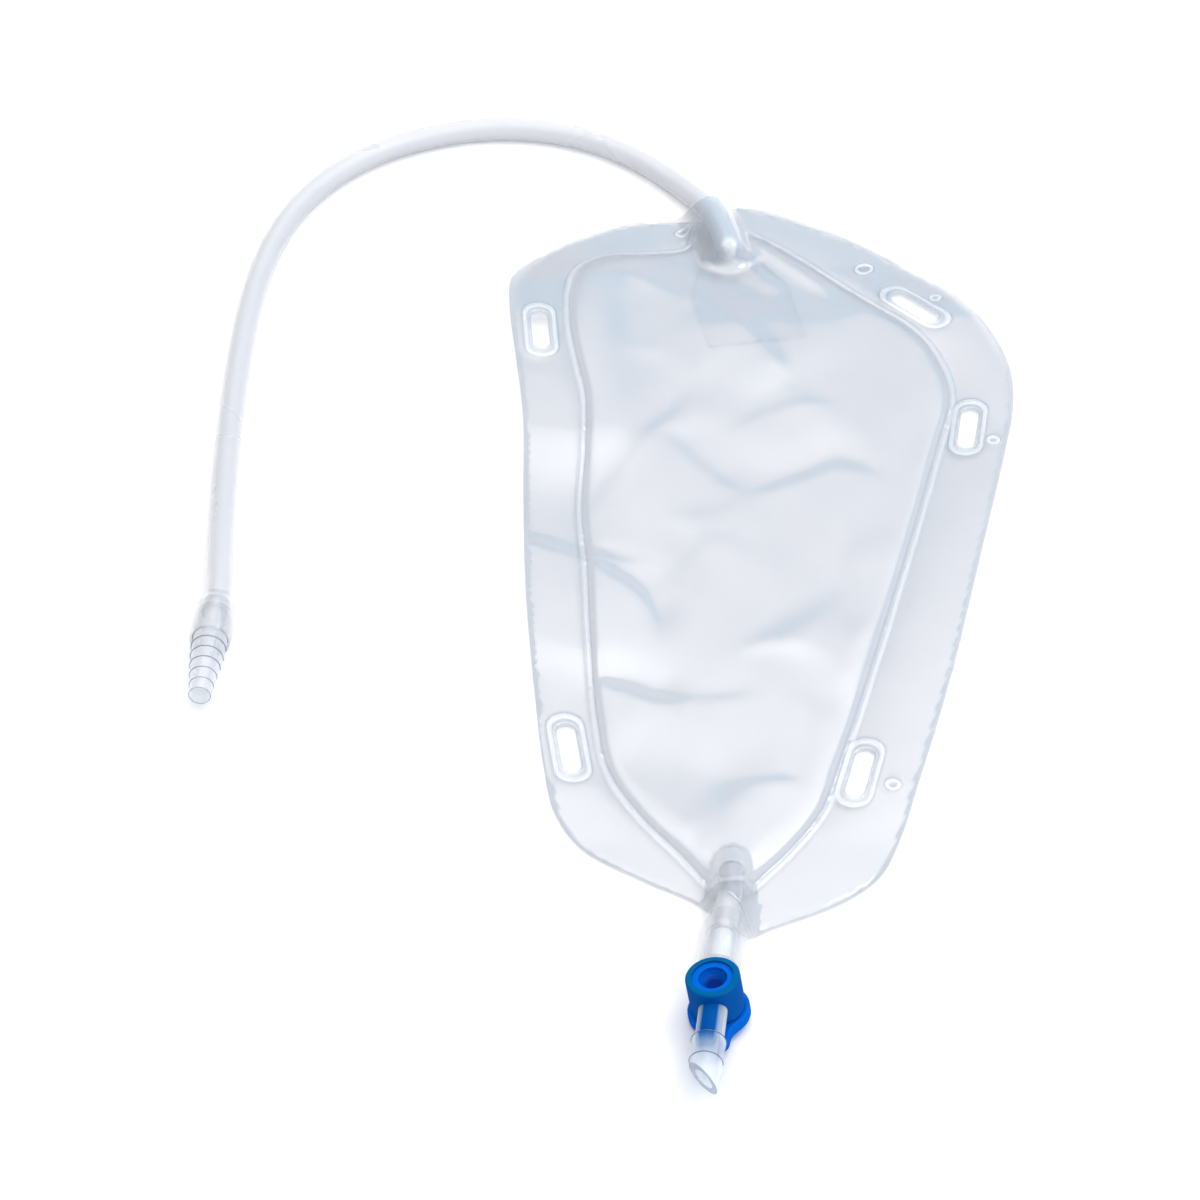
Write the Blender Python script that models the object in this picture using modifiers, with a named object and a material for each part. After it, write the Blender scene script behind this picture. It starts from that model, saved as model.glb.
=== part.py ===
"""Leg drainage bag: a welded film bag, its looped drain hose with a stepped connector,
and an outlet with a plug valve.

Metres, +Z up. The bag lies on its back film on the surface z = 0. X runs across the bag,
+Y to the hose inlet and -Y to the valve, with the origin under the middle of the bag.
"""

import math

import bmesh
import bpy
import numpy as np
from mathutils import Matrix, Vector
from mathutils.geometry import delaunay_2d_cdt

MM = 0.001
PART_NAME = "urine_drainage_bag"

# The bag's width and length, and the size that the plan points below are drawn at.
BAG_WIDTH = 147.0
BAG_LENGTH = 310.0
DRAWN_WIDTH = 147.0
DRAWN_LENGTH = 310.0

# Films, in millimetres.
FILM = 0.35
WELD_GAP = 0.3
PILLOW_RISE = 5.5
PILLOW_REACH = 14.0
BEAD_RISE = 0.5
BEAD_WIDTH = 1.3
EDGE_LIFT = 1.5
EDGE_REACH = 7.0
STUB_LIFT_REACH = 15.0

# Strap slots, in millimetres.
SLOT_WIDTH = 5.0
SLOT_LENGTH = 18.0
RING_OFFSET = 1.6
RING_RISE = 0.4

# Hoses, in millimetres. FIT is the gap between pieces that are pushed or welded together.
HOSE_OD = 7.0
STUB_OD = 6.4
STUB_BORE = 4.6
FIT = 0.3
SURFACE_CLEAR = 0.02

# The two flaps of the non-return valve, in millimetres.
FLAP_THICK = 0.2
FLAP_MOUTH = 13.0
FLAP_END = 30.0
FLAP_FLARE = 15.0
FLAP_LENGTH = 42.0
FLAP_OVERLAP = 6.0

# Joining sleeves and the stepped connector, in millimetres.
SLEEVE_OD = 11.4
SLEEVE_LENGTH = 17.0
SLEEVE_SHOULDER = 6.0
SLEEVE_WALL = 0.35
SLEEVE_GRIP = 10.6
SLEEVE_MOUTH_TAPER = 8.0
CONNECTOR_BORE = 4.9
CONNECTOR_PITCH = 3.65
CONNECTOR_FIRST_RIM = 1.0
CONNECTOR_RIMS = (9.3, 9.2, 8.7, 8.05, 7.25, 6.4)
CONNECTOR_STEP = 0.5
CONNECTOR_TIP = 5.7

# Valve, in millimetres, about the point where its barrel and its flow line cross.
BARREL_OD = 13.1
BARREL_TOP = 5.6
BARREL_BOTTOM = -4.6
PLUG_OD = 9.5
PLUG_CLEAR = 0.25
PLUG_TOP = 5.0
PLUG_DISH_OD = 6.9
PLUG_DISH_FLOOR_OD = 3.0
PLUG_DISH_DEPTH = 2.4
FLOW_BORE = 4.4
HANDLE_OD = 15.0
HANDLE_THICK = 3.0
HANDLE_GAP = 0.3
TAB_REACH = 12.4
TAB_WIDTH = 6.8
SPIGOT_OD = 6.9
SPIGOT_TIP = 30.5
SPIGOT_TIP_OD = 6.8
SPIGOT_RIMS = ((15.6, 8.2, 7.4), (22.0, 7.9, 6.9))
SPIGOT_CUT_DEG = 45.0
BARB_LENGTH = 9.4
BARB_OD = 8.2
BARB_TIP_OD = 7.2
BARREL_EDGE = 0.4
HANDLE_EDGE = 0.5
TAB_CORNER = 2.0
TAB_FILLET = 5.5
SLEEVE_START = 7.9

# Where the valve stands and how it is turned: place in millimetres, turns in degrees.
VALVE_PLACE = (-19.2, -152.4)
VALVE_YAW_DEG = -7.2
VALVE_ROLL_DEG = -9.0

# Facets round a turned piece, and the edges kept sharp on it.
ROUND_STEPS = 40
FINE_STEPS = 28
SHARP_DEG = 35

# The die-cut edge of the bag, anticlockwise from the inlet, in millimetres.
EDGE = (
    (-11.8, 177.0), (-25.5, 175.9), (-40.2, 173.2), (-58.6, 162.4), (-68.4, 152.0),
    (-73.0, 142.0), (-73.4, 128.0), (-71.0, 103.0), (-68.4, 74.0), (-67.8, 40.0),
    (-66.4, -1.3), (-63.4, -41.1), (-60.8, -68.0), (-57.8, -84.5), (-50.8, -96.8),
    (-36.5, -107.2), (-22.2, -115.9), (-18.2, -121.0), (-14.6, -124.6), (-11.0, -127.0),
    (-4.0, -123.6), (12.5, -115.5), (22.6, -106.6), (28.6, -93.5), (34.2, -74.9),
    (45.9, -33.4), (59.7, 23.9), (68.2, 60.0), (72.9, 84.0), (72.9, 102.0),
    (68.0, 121.0), (59.5, 137.5), (44.7, 152.6), (30.3, 165.6), (15.4, 175.3),
    (3.2, 181.9), (-4.6, 183.8),
)
# The weld that closes the chamber, the same way round, in millimetres.
SEAM = (
    (-15.6, 171.0), (-20.5, 160.8), (-33.0, 158.2), (-46.4, 155.6), (-53.4, 147.6),
    (-56.2, 134.6), (-56.2, 119.5), (-54.2, 103.0), (-51.6, 86.0), (-51.4, 62.0),
    (-52.4, 36.0), (-50.9, 12.0), (-49.8, -20.0), (-48.0, -49.9), (-44.9, -69.5),
    (-36.5, -86.5), (-26.5, -100.4), (-19.4, -111.6), (-16.4, -117.6), (-12.6, -116.4),
    (-8.3, -110.4), (1.4, -98.2), (10.3, -83.8), (16.0, -65.5), (21.1, -48.0),
    (31.3, -10.6), (42.3, 31.3), (51.0, 66.0), (55.3, 84.0), (55.2, 96.0),
    (51.6, 110.0), (46.0, 120.6), (36.4, 131.0), (25.5, 143.2), (12.5, 157.8),
    (2.0, 167.6), (-6.4, 172.6),
)
# Strap slots: centre in millimetres and lean from the bag's long axis in degrees.
SLOTS = (
    (-64.0, 115.3, 3.9),
    (-54.4, -60.8, 7.4),
    (47.7, 130.2, 41.9),
    (58.9, 72.3, -9.7),
    (19.9, -69.7, -14.5),
)
# Folds pressed into the front film: points, rise (below zero for a valley) and half width.
FOLDS = (
    ("left crease ridge", ((-66.0, 27.5), (-52.4, 21.5), (-40.4, 12.0), (-31.0, 0.5)), 2.6, 4.0),
    ("left crease valley", ((-68.0, 22.0), (-52.4, 15.5), (-41.0, 6.5), (-32.6, -5.0)), -2.2, 3.2),
    ("low ridge", ((-50.0, -27.5), (-42.0, -26.0), (-34.0, -23.5), (-26.0, -30.0)), 2.4, 5.0),
    ("low valley", ((-44.3, -36.5), (-31.5, -40.5), (-20.1, -43.5), (-2.0, -40.0)), -2.4, 5.0),
    ("right arc", ((-1.0, -22.5), (8.5, -25.5), (14.0, -33.5), (13.0, -42.0)), 2.0, 4.5),
    ("vee left", ((-21.9, 68.0), (-13.7, 54.0), (-3.5, 45.5)), -2.2, 5.5),
    ("vee right", ((-4.5, 44.5), (8.1, 50.5), (21.0, 55.0), (32.0, 50.0)), -1.8, 5.0),
    ("shoulder fold", ((-20.0, 103.0), (-21.0, 89.7), (-31.0, 73.3), (-42.0, 55.0)), -2.0, 6.0),
    ("upper fold", ((-7.5, 127.0), (-0.8, 110.9), (5.5, 96.0)), -1.6, 5.0),
    ("middle fold", ((-5.0, 73.0), (3.8, 78.0), (21.0, 82.0)), -1.3, 4.5),
    ("middle curve", ((-12.0, 24.0), (-21.6, 10.6), (-28.4, -4.5)), -1.6, 5.0),
    ("lower bulge", ((-34.0, -54.0), (-18.0, -57.0), (-4.0, -52.0)), 1.8, 9.0),
    ("low right fold", ((-14.0, -80.0), (-7.1, -76.0), (2.0, -74.5)), -1.6, 4.0),
    ("outlet fold", ((-12.5, -106.0), (-10.3, -95.1), (-5.0, -80.0)), -1.6, 3.5),
    ("outlet left fold", ((-23.0, -90.0), (-21.5, -99.0), (-16.0, -107.0)), -1.2, 3.0),
    ("right wave", ((25.0, 24.0), (20.5, 4.0), (24.0, -8.0), (20.0, -25.0)), -1.3, 5.0),
)
# Waves that lift both welded films off the surface: centre, rise and reach across and along.
WAVES = (
    (-66.5, 50.0, 4.2, 9.0, 17.0),
    (-70.0, 152.0, 2.2, 16.0, 16.0),
    (66.0, 30.0, 1.8, 9.0, 30.0),
    (74.0, 100.0, 1.6, 10.0, 22.0),
    (26.0, -98.0, 1.6, 10.0, 14.0),
    (-60.0, -30.0, 1.0, 8.0, 18.0),
)
# How far the hose is held off the surface: between the flaps, and in the upper sleeve.
IN_BAG_LIFT = FILM + 2 * FIT + FLAP_THICK + 0.2
SLEEVE_LIFT = (SLEEVE_OD - HOSE_OD) / 2 + 0.05
# The hose from its inner end in the bag to the connector: place and lift in millimetres.
HOSE_ROUTE = (
    (-7.4, 154.6, IN_BAG_LIFT), (-9.4, 164.8, IN_BAG_LIFT), (-12.6, 176.2, 1.1),
    (-17.4, 185.4, 0.4), (-24.6, 195.4, 0.0), (-34.2, 205.9, 0.0), (-46.7, 215.3, 0.0),
    (-59.2, 220.9, 0.0), (-71.9, 223.3, 0.0), (-84.6, 223.0, 0.0), (-100.1, 218.8, 0.0),
    (-115.1, 210.6, 0.0), (-128.2, 198.4, 0.0), (-138.4, 182.4, 0.0), (-145.0, 164.3, 0.0),
    (-149.0, 143.8, 0.0), (-150.9, 123.5, 0.0), (-151.7, 101.4, 0.0), (-151.9, 82.4, 0.0),
    (-151.8, 63.9, 0.0), (-151.4, 45.9, 0.1), (-150.7, 28.4, 0.6), (-149.6, 10.0, 1.6),
    (-148.7, -3.5, SLEEVE_LIFT), (-148.75, -8.4, SLEEVE_LIFT), (-148.95, -13.5, SLEEVE_LIFT),
)
# The outlet stub's run between the films: place and lift in millimetres.
STUB_RUN = (
    (-14.0, -108.5, 1.6), (-14.3, -113.0, 2.7), (-14.7, -117.5, 4.0), (-15.1, -121.5, 5.0),
)

# Mesh spacings in millimetres, and the points of the hose curve that the bag covers.
HOSE_SPACING = 9.0
GRID = 10.5
ROW_SPACING = 8.0
TUNNEL_STEPS = 60
FLAP_STEPS = 14


# Plan curves

def on_bag(points):
    """Drawn plan points, moved to the bag's own width and length; any height stays."""
    across, along = BAG_WIDTH / DRAWN_WIDTH, BAG_LENGTH / DRAWN_LENGTH
    return [(x * across, y * along, *rest) for x, y, *rest in points]


def blend_point(p, q, low, high, t):
    """The point at t between p, at low, and q, at high."""
    return p + (q - p) * ((t - low) / (high - low))


def curve_through(points, closed=False, steps=14):
    """A dense smooth curve through points (centripetal Catmull-Rom)."""
    p = [np.array(q, float) for q in points]
    if closed:
        p = [p[-1], *p, p[0], p[1]]
    else:
        p = [2 * p[0] - p[1], *p, 2 * p[-1] - p[-2]]
    dense = []
    for a, b, c, d in zip(p, p[1:], p[2:], p[3:]):
        k0 = 0.0
        k1 = k0 + math.sqrt(np.linalg.norm(b - a))
        k2 = k1 + math.sqrt(np.linalg.norm(c - b))
        k3 = k2 + math.sqrt(np.linalg.norm(d - c))
        for t in np.linspace(k1, k2, steps, endpoint=False):
            ab = blend_point(a, b, k0, k1, t)
            bc = blend_point(b, c, k1, k2, t)
            cd = blend_point(c, d, k2, k3, t)
            abc = blend_point(ab, bc, k0, k2, t)
            bcd = blend_point(bc, cd, k1, k3, t)
            dense.append(blend_point(abc, bcd, k1, k2, t))
    if not closed:
        dense.append(p[-2])
    return np.array(dense)


def spaced(line, spacing, closed=False):
    """Points at an even spacing along a polyline, its ends included."""
    if closed:
        line = np.vstack([line, line[:1]])
    legs = np.linalg.norm(np.diff(line, axis=0), axis=1)
    along = np.concatenate([[0.0], np.cumsum(legs)])
    count = max(2, round(along[-1] / spacing))
    at = np.linspace(0.0, along[-1], count + 1)
    if closed:
        at = at[:-1]
    return np.column_stack([np.interp(at, along, line[:, k]) for k in range(line.shape[1])])


def sideways(line, offset, closed=False):
    """A plan line moved to its left by offset."""
    if closed:
        step = np.roll(line, -1, axis=0) - np.roll(line, 1, axis=0)
    else:
        step = np.gradient(line, axis=0)
    step = step[:, :2] / np.linalg.norm(step[:, :2], axis=1)[:, None]
    return line[:, :2] + offset * np.column_stack([-step[:, 1], step[:, 0]])


def distance_along(xy, line):
    """Each point's distance to an open polyline, and its share of the way along it."""
    best = np.full(len(xy), 1e9)
    share = np.zeros(len(xy))
    legs = np.linalg.norm(np.diff(line, axis=0), axis=1)
    along = np.concatenate([[0.0], np.cumsum(legs)])
    for k, (a, b) in enumerate(zip(line[:-1], line[1:])):
        ab = b - a
        t = np.clip(((xy - a) @ ab) / max(ab @ ab, 1e-12), 0.0, 1.0)
        far = np.linalg.norm(xy - a - t[:, None] * ab, axis=1)
        nearer = far < best
        best[nearer] = far[nearer]
        share[nearer] = (along[k] + t[nearer] * legs[k]) / along[-1]
    return best, share


def is_inside(xy, loop):
    """Whether each point lies inside a closed plan loop."""
    inside = np.zeros(len(xy), bool)
    for a, b in zip(loop, np.roll(loop, -1, axis=0)):
        crosses = (a[1] > xy[:, 1]) != (b[1] > xy[:, 1])
        rise = b[1] - a[1] if b[1] != a[1] else 1e-12
        at = a[0] + (xy[:, 1] - a[1]) * (b[0] - a[0]) / rise
        inside ^= crosses & (xy[:, 0] < at)
    return inside


def depth_inside(xy, loop):
    """Distance to a closed plan loop, above zero inside it."""
    far, _ = distance_along(xy, np.vstack([loop, loop[:1]]))
    return np.where(is_inside(xy, loop), far, -far)


def slot_loop(slot, margin=0.0, arc_steps=6):
    """The round-ended outline of a strap slot, widened all round by margin."""
    x, y, lean = slot
    radius = SLOT_WIDTH / 2 + margin
    half = SLOT_LENGTH / 2 - SLOT_WIDTH / 2
    loop = []
    for end, start in ((half, 0.0), (-half, math.pi)):
        for k in range(arc_steps + 1):
            turn = start + math.pi * k / arc_steps
            loop.append((radius * math.cos(turn), end + radius * math.sin(turn)))
    loop = spaced(np.array(loop), 3.2, closed=True)
    c, s = math.cos(math.radians(lean)), math.sin(math.radians(lean))
    return loop @ np.array([[c, -s], [s, c]]).T + np.array([x, y])


def valve_turn():
    """The valve's place and turn: its +Y runs along the flow line towards the bag."""
    roll = math.radians(VALVE_ROLL_DEG)
    under = HANDLE_THICK + HANDLE_GAP - BARREL_BOTTOM
    height = under * math.cos(roll) + HANDLE_OD / 2 * math.sin(abs(roll)) + SURFACE_CLEAR
    place = Matrix.Translation(Vector((*on_bag([VALVE_PLACE])[0], height)) * MM)
    yaw = Matrix.Rotation(math.radians(VALVE_YAW_DEG), 4, "Z")
    return place @ yaw @ Matrix.Rotation(roll, 4, "Y")


def hose_line():
    """The middle of the hose, resting on the surface where nothing lifts it."""
    rest = HOSE_OD / 2 + SURFACE_CLEAR
    return curve_through([(x, y, rest + lift) for x, y, lift in on_bag(HOSE_ROUTE)])


def stub_line():
    """The middle of the outlet stub, straight along the valve's flow line at its end."""
    run = [(x, y, STUB_OD / 2 + lift) for x, y, lift in on_bag(STUB_RUN)]
    low = SLEEVE_START + SLEEVE_GRIP + 2 * FIT
    for along in (low + 9.0, low + 4.5, low):
        run.append(tuple(valve_turn() @ Vector((0.0, along * MM, 0.0)) / MM))
    return curve_through(run)


def finer_near(loop, lines, reach, share):
    """Keeps every point of a closed loop that is near a line, and one in share elsewhere."""
    far = np.min([distance_along(loop, line[:, :2])[0] for line in lines], axis=0)
    return np.array([p for k, p in enumerate(loop) if far[k] < reach or k % share == 0])


def edge_loop(lines):
    """The die-cut edge, finer where the hoses cross it."""
    fine = spaced(curve_through(on_bag(EDGE), closed=True), ROW_SPACING / 5, closed=True)
    return finer_near(fine, lines, 9.0, 5)


HOSE_LINE = hose_line()
STUB_LINE = stub_line()
EDGE_LOOP = edge_loop((HOSE_LINE[:TUNNEL_STEPS], STUB_LINE))
SEAM_FINE = curve_through(on_bag(SEAM), closed=True)
SEAM_LOOP = spaced(SEAM_FINE, ROW_SPACING, closed=True)


# Film heights

def larger(a, b, soft=1.2):
    """The larger of a and b with a soft corner, never below either."""
    gap = np.maximum(soft - np.abs(a - b), 0.0) / soft
    return np.maximum(a, b) + gap * gap * soft * 0.25


def over_tube(xy, line, radius, slope_deg=62.0, soft_end=0.5):
    """How high a film stretched over a round tube runs, far below zero away from it."""
    plan = line[:, :2]
    best, share = distance_along(xy, plan)
    middle = np.interp(share, np.linspace(0.0, 1.0, len(line)), line[:, 2])
    past = (xy - plan[0]) @ ((plan[0] - plan[1]) / np.linalg.norm(plan[0] - plan[1]))
    past = np.maximum(past, 0.0)
    side = np.sqrt(np.maximum(best**2 - past**2, 0.0))
    best = np.sqrt(side**2 + (past * soft_end) ** 2)
    turn = math.radians(slope_deg)
    round_top = np.sqrt(np.maximum(radius**2 - best**2, 0.0))
    straight = radius / math.cos(turn) - best * math.tan(turn)
    return middle + np.where(best < radius * math.sin(turn), round_top, straight)


def fold_heights(xy, inside):
    """The rise of all folds, fading to nothing at their ends and at the weld."""
    total = np.zeros(len(xy))
    for _, points, rise, width in FOLDS:
        far, share = distance_along(xy, curve_through(on_bag(points), steps=6))
        ends = np.clip(np.sin(math.pi * np.clip(share, 0.0, 1.0)), 0.0, 1.0) ** 0.6
        total += rise * np.exp(-((far / width) ** 2)) * ends
    return total * np.clip(inside / 9.0, 0.0, 1.0)


def near_tubes(xy):
    """1 beside the hose inlet or the outlet stub, 0 well away from both."""
    hose, _ = distance_along(xy, HOSE_LINE[:TUNNEL_STEPS, :2])
    stub, _ = distance_along(xy, STUB_LINE[:, :2])
    return np.exp(-((np.minimum(hose, stub) / 11.0) ** 4))


def under_stub(xy):
    """How far the back film is lifted where it is welded round the outlet stub."""
    far, share = distance_along(xy, STUB_LINE[:, :2])
    middle = np.interp(share, np.linspace(0.0, 1.0, len(STUB_LINE)), STUB_LINE[:, 2])
    room = np.maximum(middle - STUB_OD / 2 - 2 * FIT - FILM, 0.0)
    return room * np.exp(-((far / STUB_LIFT_REACH) ** 2))


def back_top(xy):
    """The upper side of the back film, flat on the surface inside the weld."""
    outside = np.maximum(-depth_inside(xy, SEAM_FINE) - 1.0, 0.0)
    lift = EDGE_LIFT * (1.0 - np.exp(-outside / EDGE_REACH))
    ripple = 0.72 + 0.28 * np.sin(xy[:, 1] / 21.0 + xy[:, 0] / 33.0 + 0.8)
    lift = lift * ripple
    for x, y, rise, across, along in on_bag(WAVES):
        wave = ((xy[:, 0] - x) / across) ** 2 + ((xy[:, 1] - y) / along) ** 2
        lift = lift + rise * np.exp(-wave) * np.clip(outside / 8.0, 0.0, 1.0)
    return FILM + np.maximum(lift * (1.0 - near_tubes(xy)), under_stub(xy))


def front_under(xy):
    """The lower side of the front film."""
    inside = depth_inside(xy, SEAM_FINE)
    pillow = PILLOW_RISE * (1.0 - np.exp(-np.maximum(inside - 1.0, 0.0) / PILLOW_REACH))
    pillow = np.maximum(pillow + fold_heights(xy, inside), np.minimum(pillow, 1.5))
    bead = BEAD_RISE * np.exp(-((inside / BEAD_WIDTH) ** 2) * 2.0)
    rings = np.zeros(len(xy))
    for slot in on_bag(SLOTS):
        ring = slot_loop(slot, RING_OFFSET)
        off = np.abs(depth_inside(xy, ring))
        rings = np.maximum(rings, RING_RISE * np.exp(-((off / 0.9) ** 2)))
    height = back_top(xy) + WELD_GAP + pillow + bead + rings
    over_hose = over_tube(xy, HOSE_LINE[:TUNNEL_STEPS], HOSE_OD / 2 + 2 * FIT + FLAP_THICK + 0.6)
    over_stub = over_tube(xy, STUB_LINE, STUB_OD / 2 + FIT + 0.7)
    return larger(larger(height, over_hose), over_stub)


# Plan mesh

def thinned(points, taken, clear):
    """The points that lie at least clear from all taken points, and from each other."""
    cells = {}

    def cell(p):
        return int(math.floor(p[0] / clear)), int(math.floor(p[1] / clear))

    def is_free(p):
        column, row = cell(p)
        for i in (column - 1, column, column + 1):
            for j in (row - 1, row, row + 1):
                for q in cells.get((i, j), ()):
                    if (p[0] - q[0]) ** 2 + (p[1] - q[1]) ** 2 < clear * clear:
                        return False
        return True

    for p in taken:
        cells.setdefault(cell(p), []).append(p)
    kept = []
    for p in points:
        if is_free(p):
            kept.append(p)
            cells.setdefault(cell(p), []).append(p)
    return kept


def hose_rows(line, spacing):
    """Points along a hose and a little beyond its first end, and beside it on each side."""
    ahead = line[0] - line[1]
    beyond = line[0] + ahead / np.linalg.norm(ahead) * 14.0
    middle = spaced(np.vstack([beyond, line]), spacing)
    sides = (0.0, 2.2, -2.2, 4.0, -4.0, 6.4, -6.4)
    return [point for offset in sides for point in sideways(middle, offset)]


def grid_points(low, high, spacing):
    """A triangular grid of plan points over a box."""
    points = []
    row_height = spacing * math.sqrt(3) / 2
    for row in range(int((high[1] - low[1]) / row_height) + 1):
        shift = spacing / 2 if row % 2 else 0.0
        for column in range(int((high[0] - low[0]) / spacing) + 1):
            points.append((low[0] + shift + column * spacing, low[1] + row * row_height))
    return np.array(points)


def plan_mesh(outer, holes, extra):
    """Triangles over a plan outline with holes, through the extra points."""
    corners, edges = [], []
    for loop in (outer, *holes):
        first = len(corners)
        corners.extend(tuple(p) for p in loop)
        edges.extend((first + k, first + (k + 1) % len(loop)) for k in range(len(loop)))
    corners.extend(tuple(p) for p in extra)
    found = delaunay_2d_cdt([Vector(p) for p in corners], edges, [], 0, 1e-5)
    plan = np.array([tuple(p) for p in found[0]])
    faces = np.array([tuple(f) for f in found[2]])
    centres = plan[faces].mean(axis=1)
    keep = is_inside(centres, outer)
    for hole in holes:
        keep &= ~is_inside(centres, hole)
    return plan, faces[keep]


def bag_plan():
    """The plan triangles that the two films share."""
    holes = [slot_loop(slot) for slot in on_bag(SLOTS)]
    rows = []
    for slot in on_bag(SLOTS):
        rows.extend(slot_loop(slot, RING_OFFSET))
        rows.extend(slot_loop(slot, 2 * RING_OFFSET))
    for offset in (0.0, BEAD_WIDTH, -BEAD_WIDTH):
        rows.extend(sideways(SEAM_LOOP, offset, closed=True))
    rows.extend(hose_rows(HOSE_LINE[:TUNNEL_STEPS], 5.0))
    rows.extend(hose_rows(STUB_LINE, 4.0))
    for _, points, _, width in FOLDS:
        line = spaced(curve_through(on_bag(points), steps=6), 7.5)
        for offset in (0.0, width, -width):
            rows.extend(sideways(line, offset))
    low = EDGE_LOOP.min(axis=0)
    high = EDGE_LOOP.max(axis=0)
    fixed = [*EDGE_LOOP, *(p for hole in holes for p in hole)]
    kept = thinned(rows, fixed, 1.25)
    kept += thinned(grid_points(low, high, GRID), [*fixed, *kept], GRID * 0.55)
    kept = np.array(kept)
    kept = kept[depth_inside(kept, EDGE_LOOP) > 1.2]
    for hole in holes:
        kept = kept[depth_inside(kept, hole) < -1.2]
    return plan_mesh(EDGE_LOOP, holes, kept)


# Blender objects

def material(name, colour, roughness, transmission=0.0):
    """A plastic's Principled material."""
    made = bpy.data.materials.new(name)
    made.use_nodes = True
    surface = made.node_tree.nodes["Principled BSDF"]
    surface.inputs["Base Color"].default_value = (*colour, 1.0)
    surface.inputs["Roughness"].default_value = roughness
    surface.inputs["Metallic"].default_value = 0.0
    surface.inputs["Transmission Weight"].default_value = transmission
    return made


def add_object(name, mesh, finish):
    """An object of the part on a mesh, with its material."""
    made = bpy.data.objects.new(name, mesh)
    bpy.data.collections[PART_NAME].objects.link(made)
    mesh.materials.clear()
    mesh.materials.append(finish)
    return made


def place_on(made, frame):
    """Parents an object to the empty that stands for its assembly."""
    made.parent = frame
    return made


def add_frame(name, turn):
    """An empty with the given world matrix."""
    made = bpy.data.objects.new(name, None)
    bpy.data.collections[PART_NAME].objects.link(made)
    made.matrix_world = turn
    bpy.context.view_layer.update()
    return made


def film_object(name, plan, faces, height, thickness, upward, finish):
    """A film: an open surface over the plan that Solidify thickens up or down."""
    mesh = bpy.data.meshes.new(name)
    mesh.from_pydata((np.column_stack([plan, height]) * MM).tolist(), [], faces.tolist())
    mesh.shade_smooth()
    made = add_object(name, mesh, finish)
    shell = made.modifiers.new("thickness", "SOLIDIFY")
    shell.thickness = thickness * MM
    shell.offset = 1.0 if upward else -1.0
    return made


def turned_mesh(name, profile, steps):
    """A mesh turned about Z from (radius, height) points in millimetres.

    A profile that starts and ends on the axis gives a solid, any other one a ring.
    """
    mesh = bpy.data.meshes.new(name + "_profile")
    corners = [(radius * MM, 0.0, height * MM) for radius, height in profile]
    edges = [(k, k + 1) for k in range(len(corners) - 1)]
    if profile[0][0] > 0.0:
        edges.append((len(corners) - 1, 0))
    mesh.from_pydata(corners, edges, [])
    spun = bpy.data.objects.new(name + "_spun", mesh)
    bpy.context.scene.collection.objects.link(spun)
    screw = spun.modifiers.new("turn", "SCREW")
    screw.steps = steps
    screw.render_steps = steps
    screw.use_merge_vertices = True
    screw.merge_threshold = 0.00001
    screw.use_smooth_shade = True
    graph = bpy.context.evaluated_depsgraph_get()
    turned = bpy.data.meshes.new_from_object(spun.evaluated_get(graph))
    turned.name = name
    bpy.data.objects.remove(spun)
    turned.set_sharp_from_angle(angle=math.radians(SHARP_DEG))
    return turned


def tool_object(name, mesh, turn=None):
    """A shape used to cut or join another one."""
    made = bpy.data.objects.new(name, mesh)
    bpy.data.collections["shaping_tools"].objects.link(made)
    made.hide_render = True
    made.display_type = "WIRE"
    if turn is not None:
        made.matrix_world = turn
    return made


def rod(name, radius, low, high, turn, steps=FINE_STEPS):
    """A plain round rod along Z, as a shaping tool."""
    profile = [(0.0, high), (radius, high), (radius, low), (0.0, low)]
    return tool_object(name, turned_mesh(name, profile, steps), turn)


def shape(body, tool, operation):
    """Joins a tool to an object's mesh, or cuts it away, and removes the tool."""
    bpy.context.view_layer.update()
    step = body.modifiers.new(operation.lower(), "BOOLEAN")
    step.operation = operation
    step.solver = "EXACT"
    step.object = tool
    graph = bpy.context.evaluated_depsgraph_get()
    shaped = bpy.data.meshes.new_from_object(body.evaluated_get(graph))
    body.modifiers.remove(step)
    body.data = shaped
    bpy.data.objects.remove(tool)


def merge_close(mesh, distance=0.00001):
    """Welds the loose caps of a mesh that was a curve."""
    work = bmesh.new()
    work.from_mesh(mesh)
    bmesh.ops.remove_doubles(work, verts=work.verts, dist=distance)
    bmesh.ops.recalc_face_normals(work, faces=work.faces)
    work.to_mesh(mesh)
    work.free()


def tube_curve(name, route, radius, resolution, caps):
    """A round tube along a route, as a poly curve with a bevel."""
    curve = bpy.data.curves.new(name, "CURVE")
    curve.dimensions = "3D"
    curve.bevel_depth = radius * MM
    curve.bevel_resolution = resolution
    curve.use_fill_caps = caps
    spline = curve.splines.new("POLY")
    spline.points.add(len(route) - 1)
    for point, place in zip(spline.points, route):
        point.co = (*(place * MM), 1.0)
    return curve


# Pieces

def make_films(finish):
    """The front and back films, on one plan with the strap slots cut through."""
    plan, faces = bag_plan()
    film_object("back_film", plan, faces, back_top(plan), FILM, False, finish)
    film_object("front_film", plan, faces, front_under(plan), FILM, True, finish)


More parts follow.
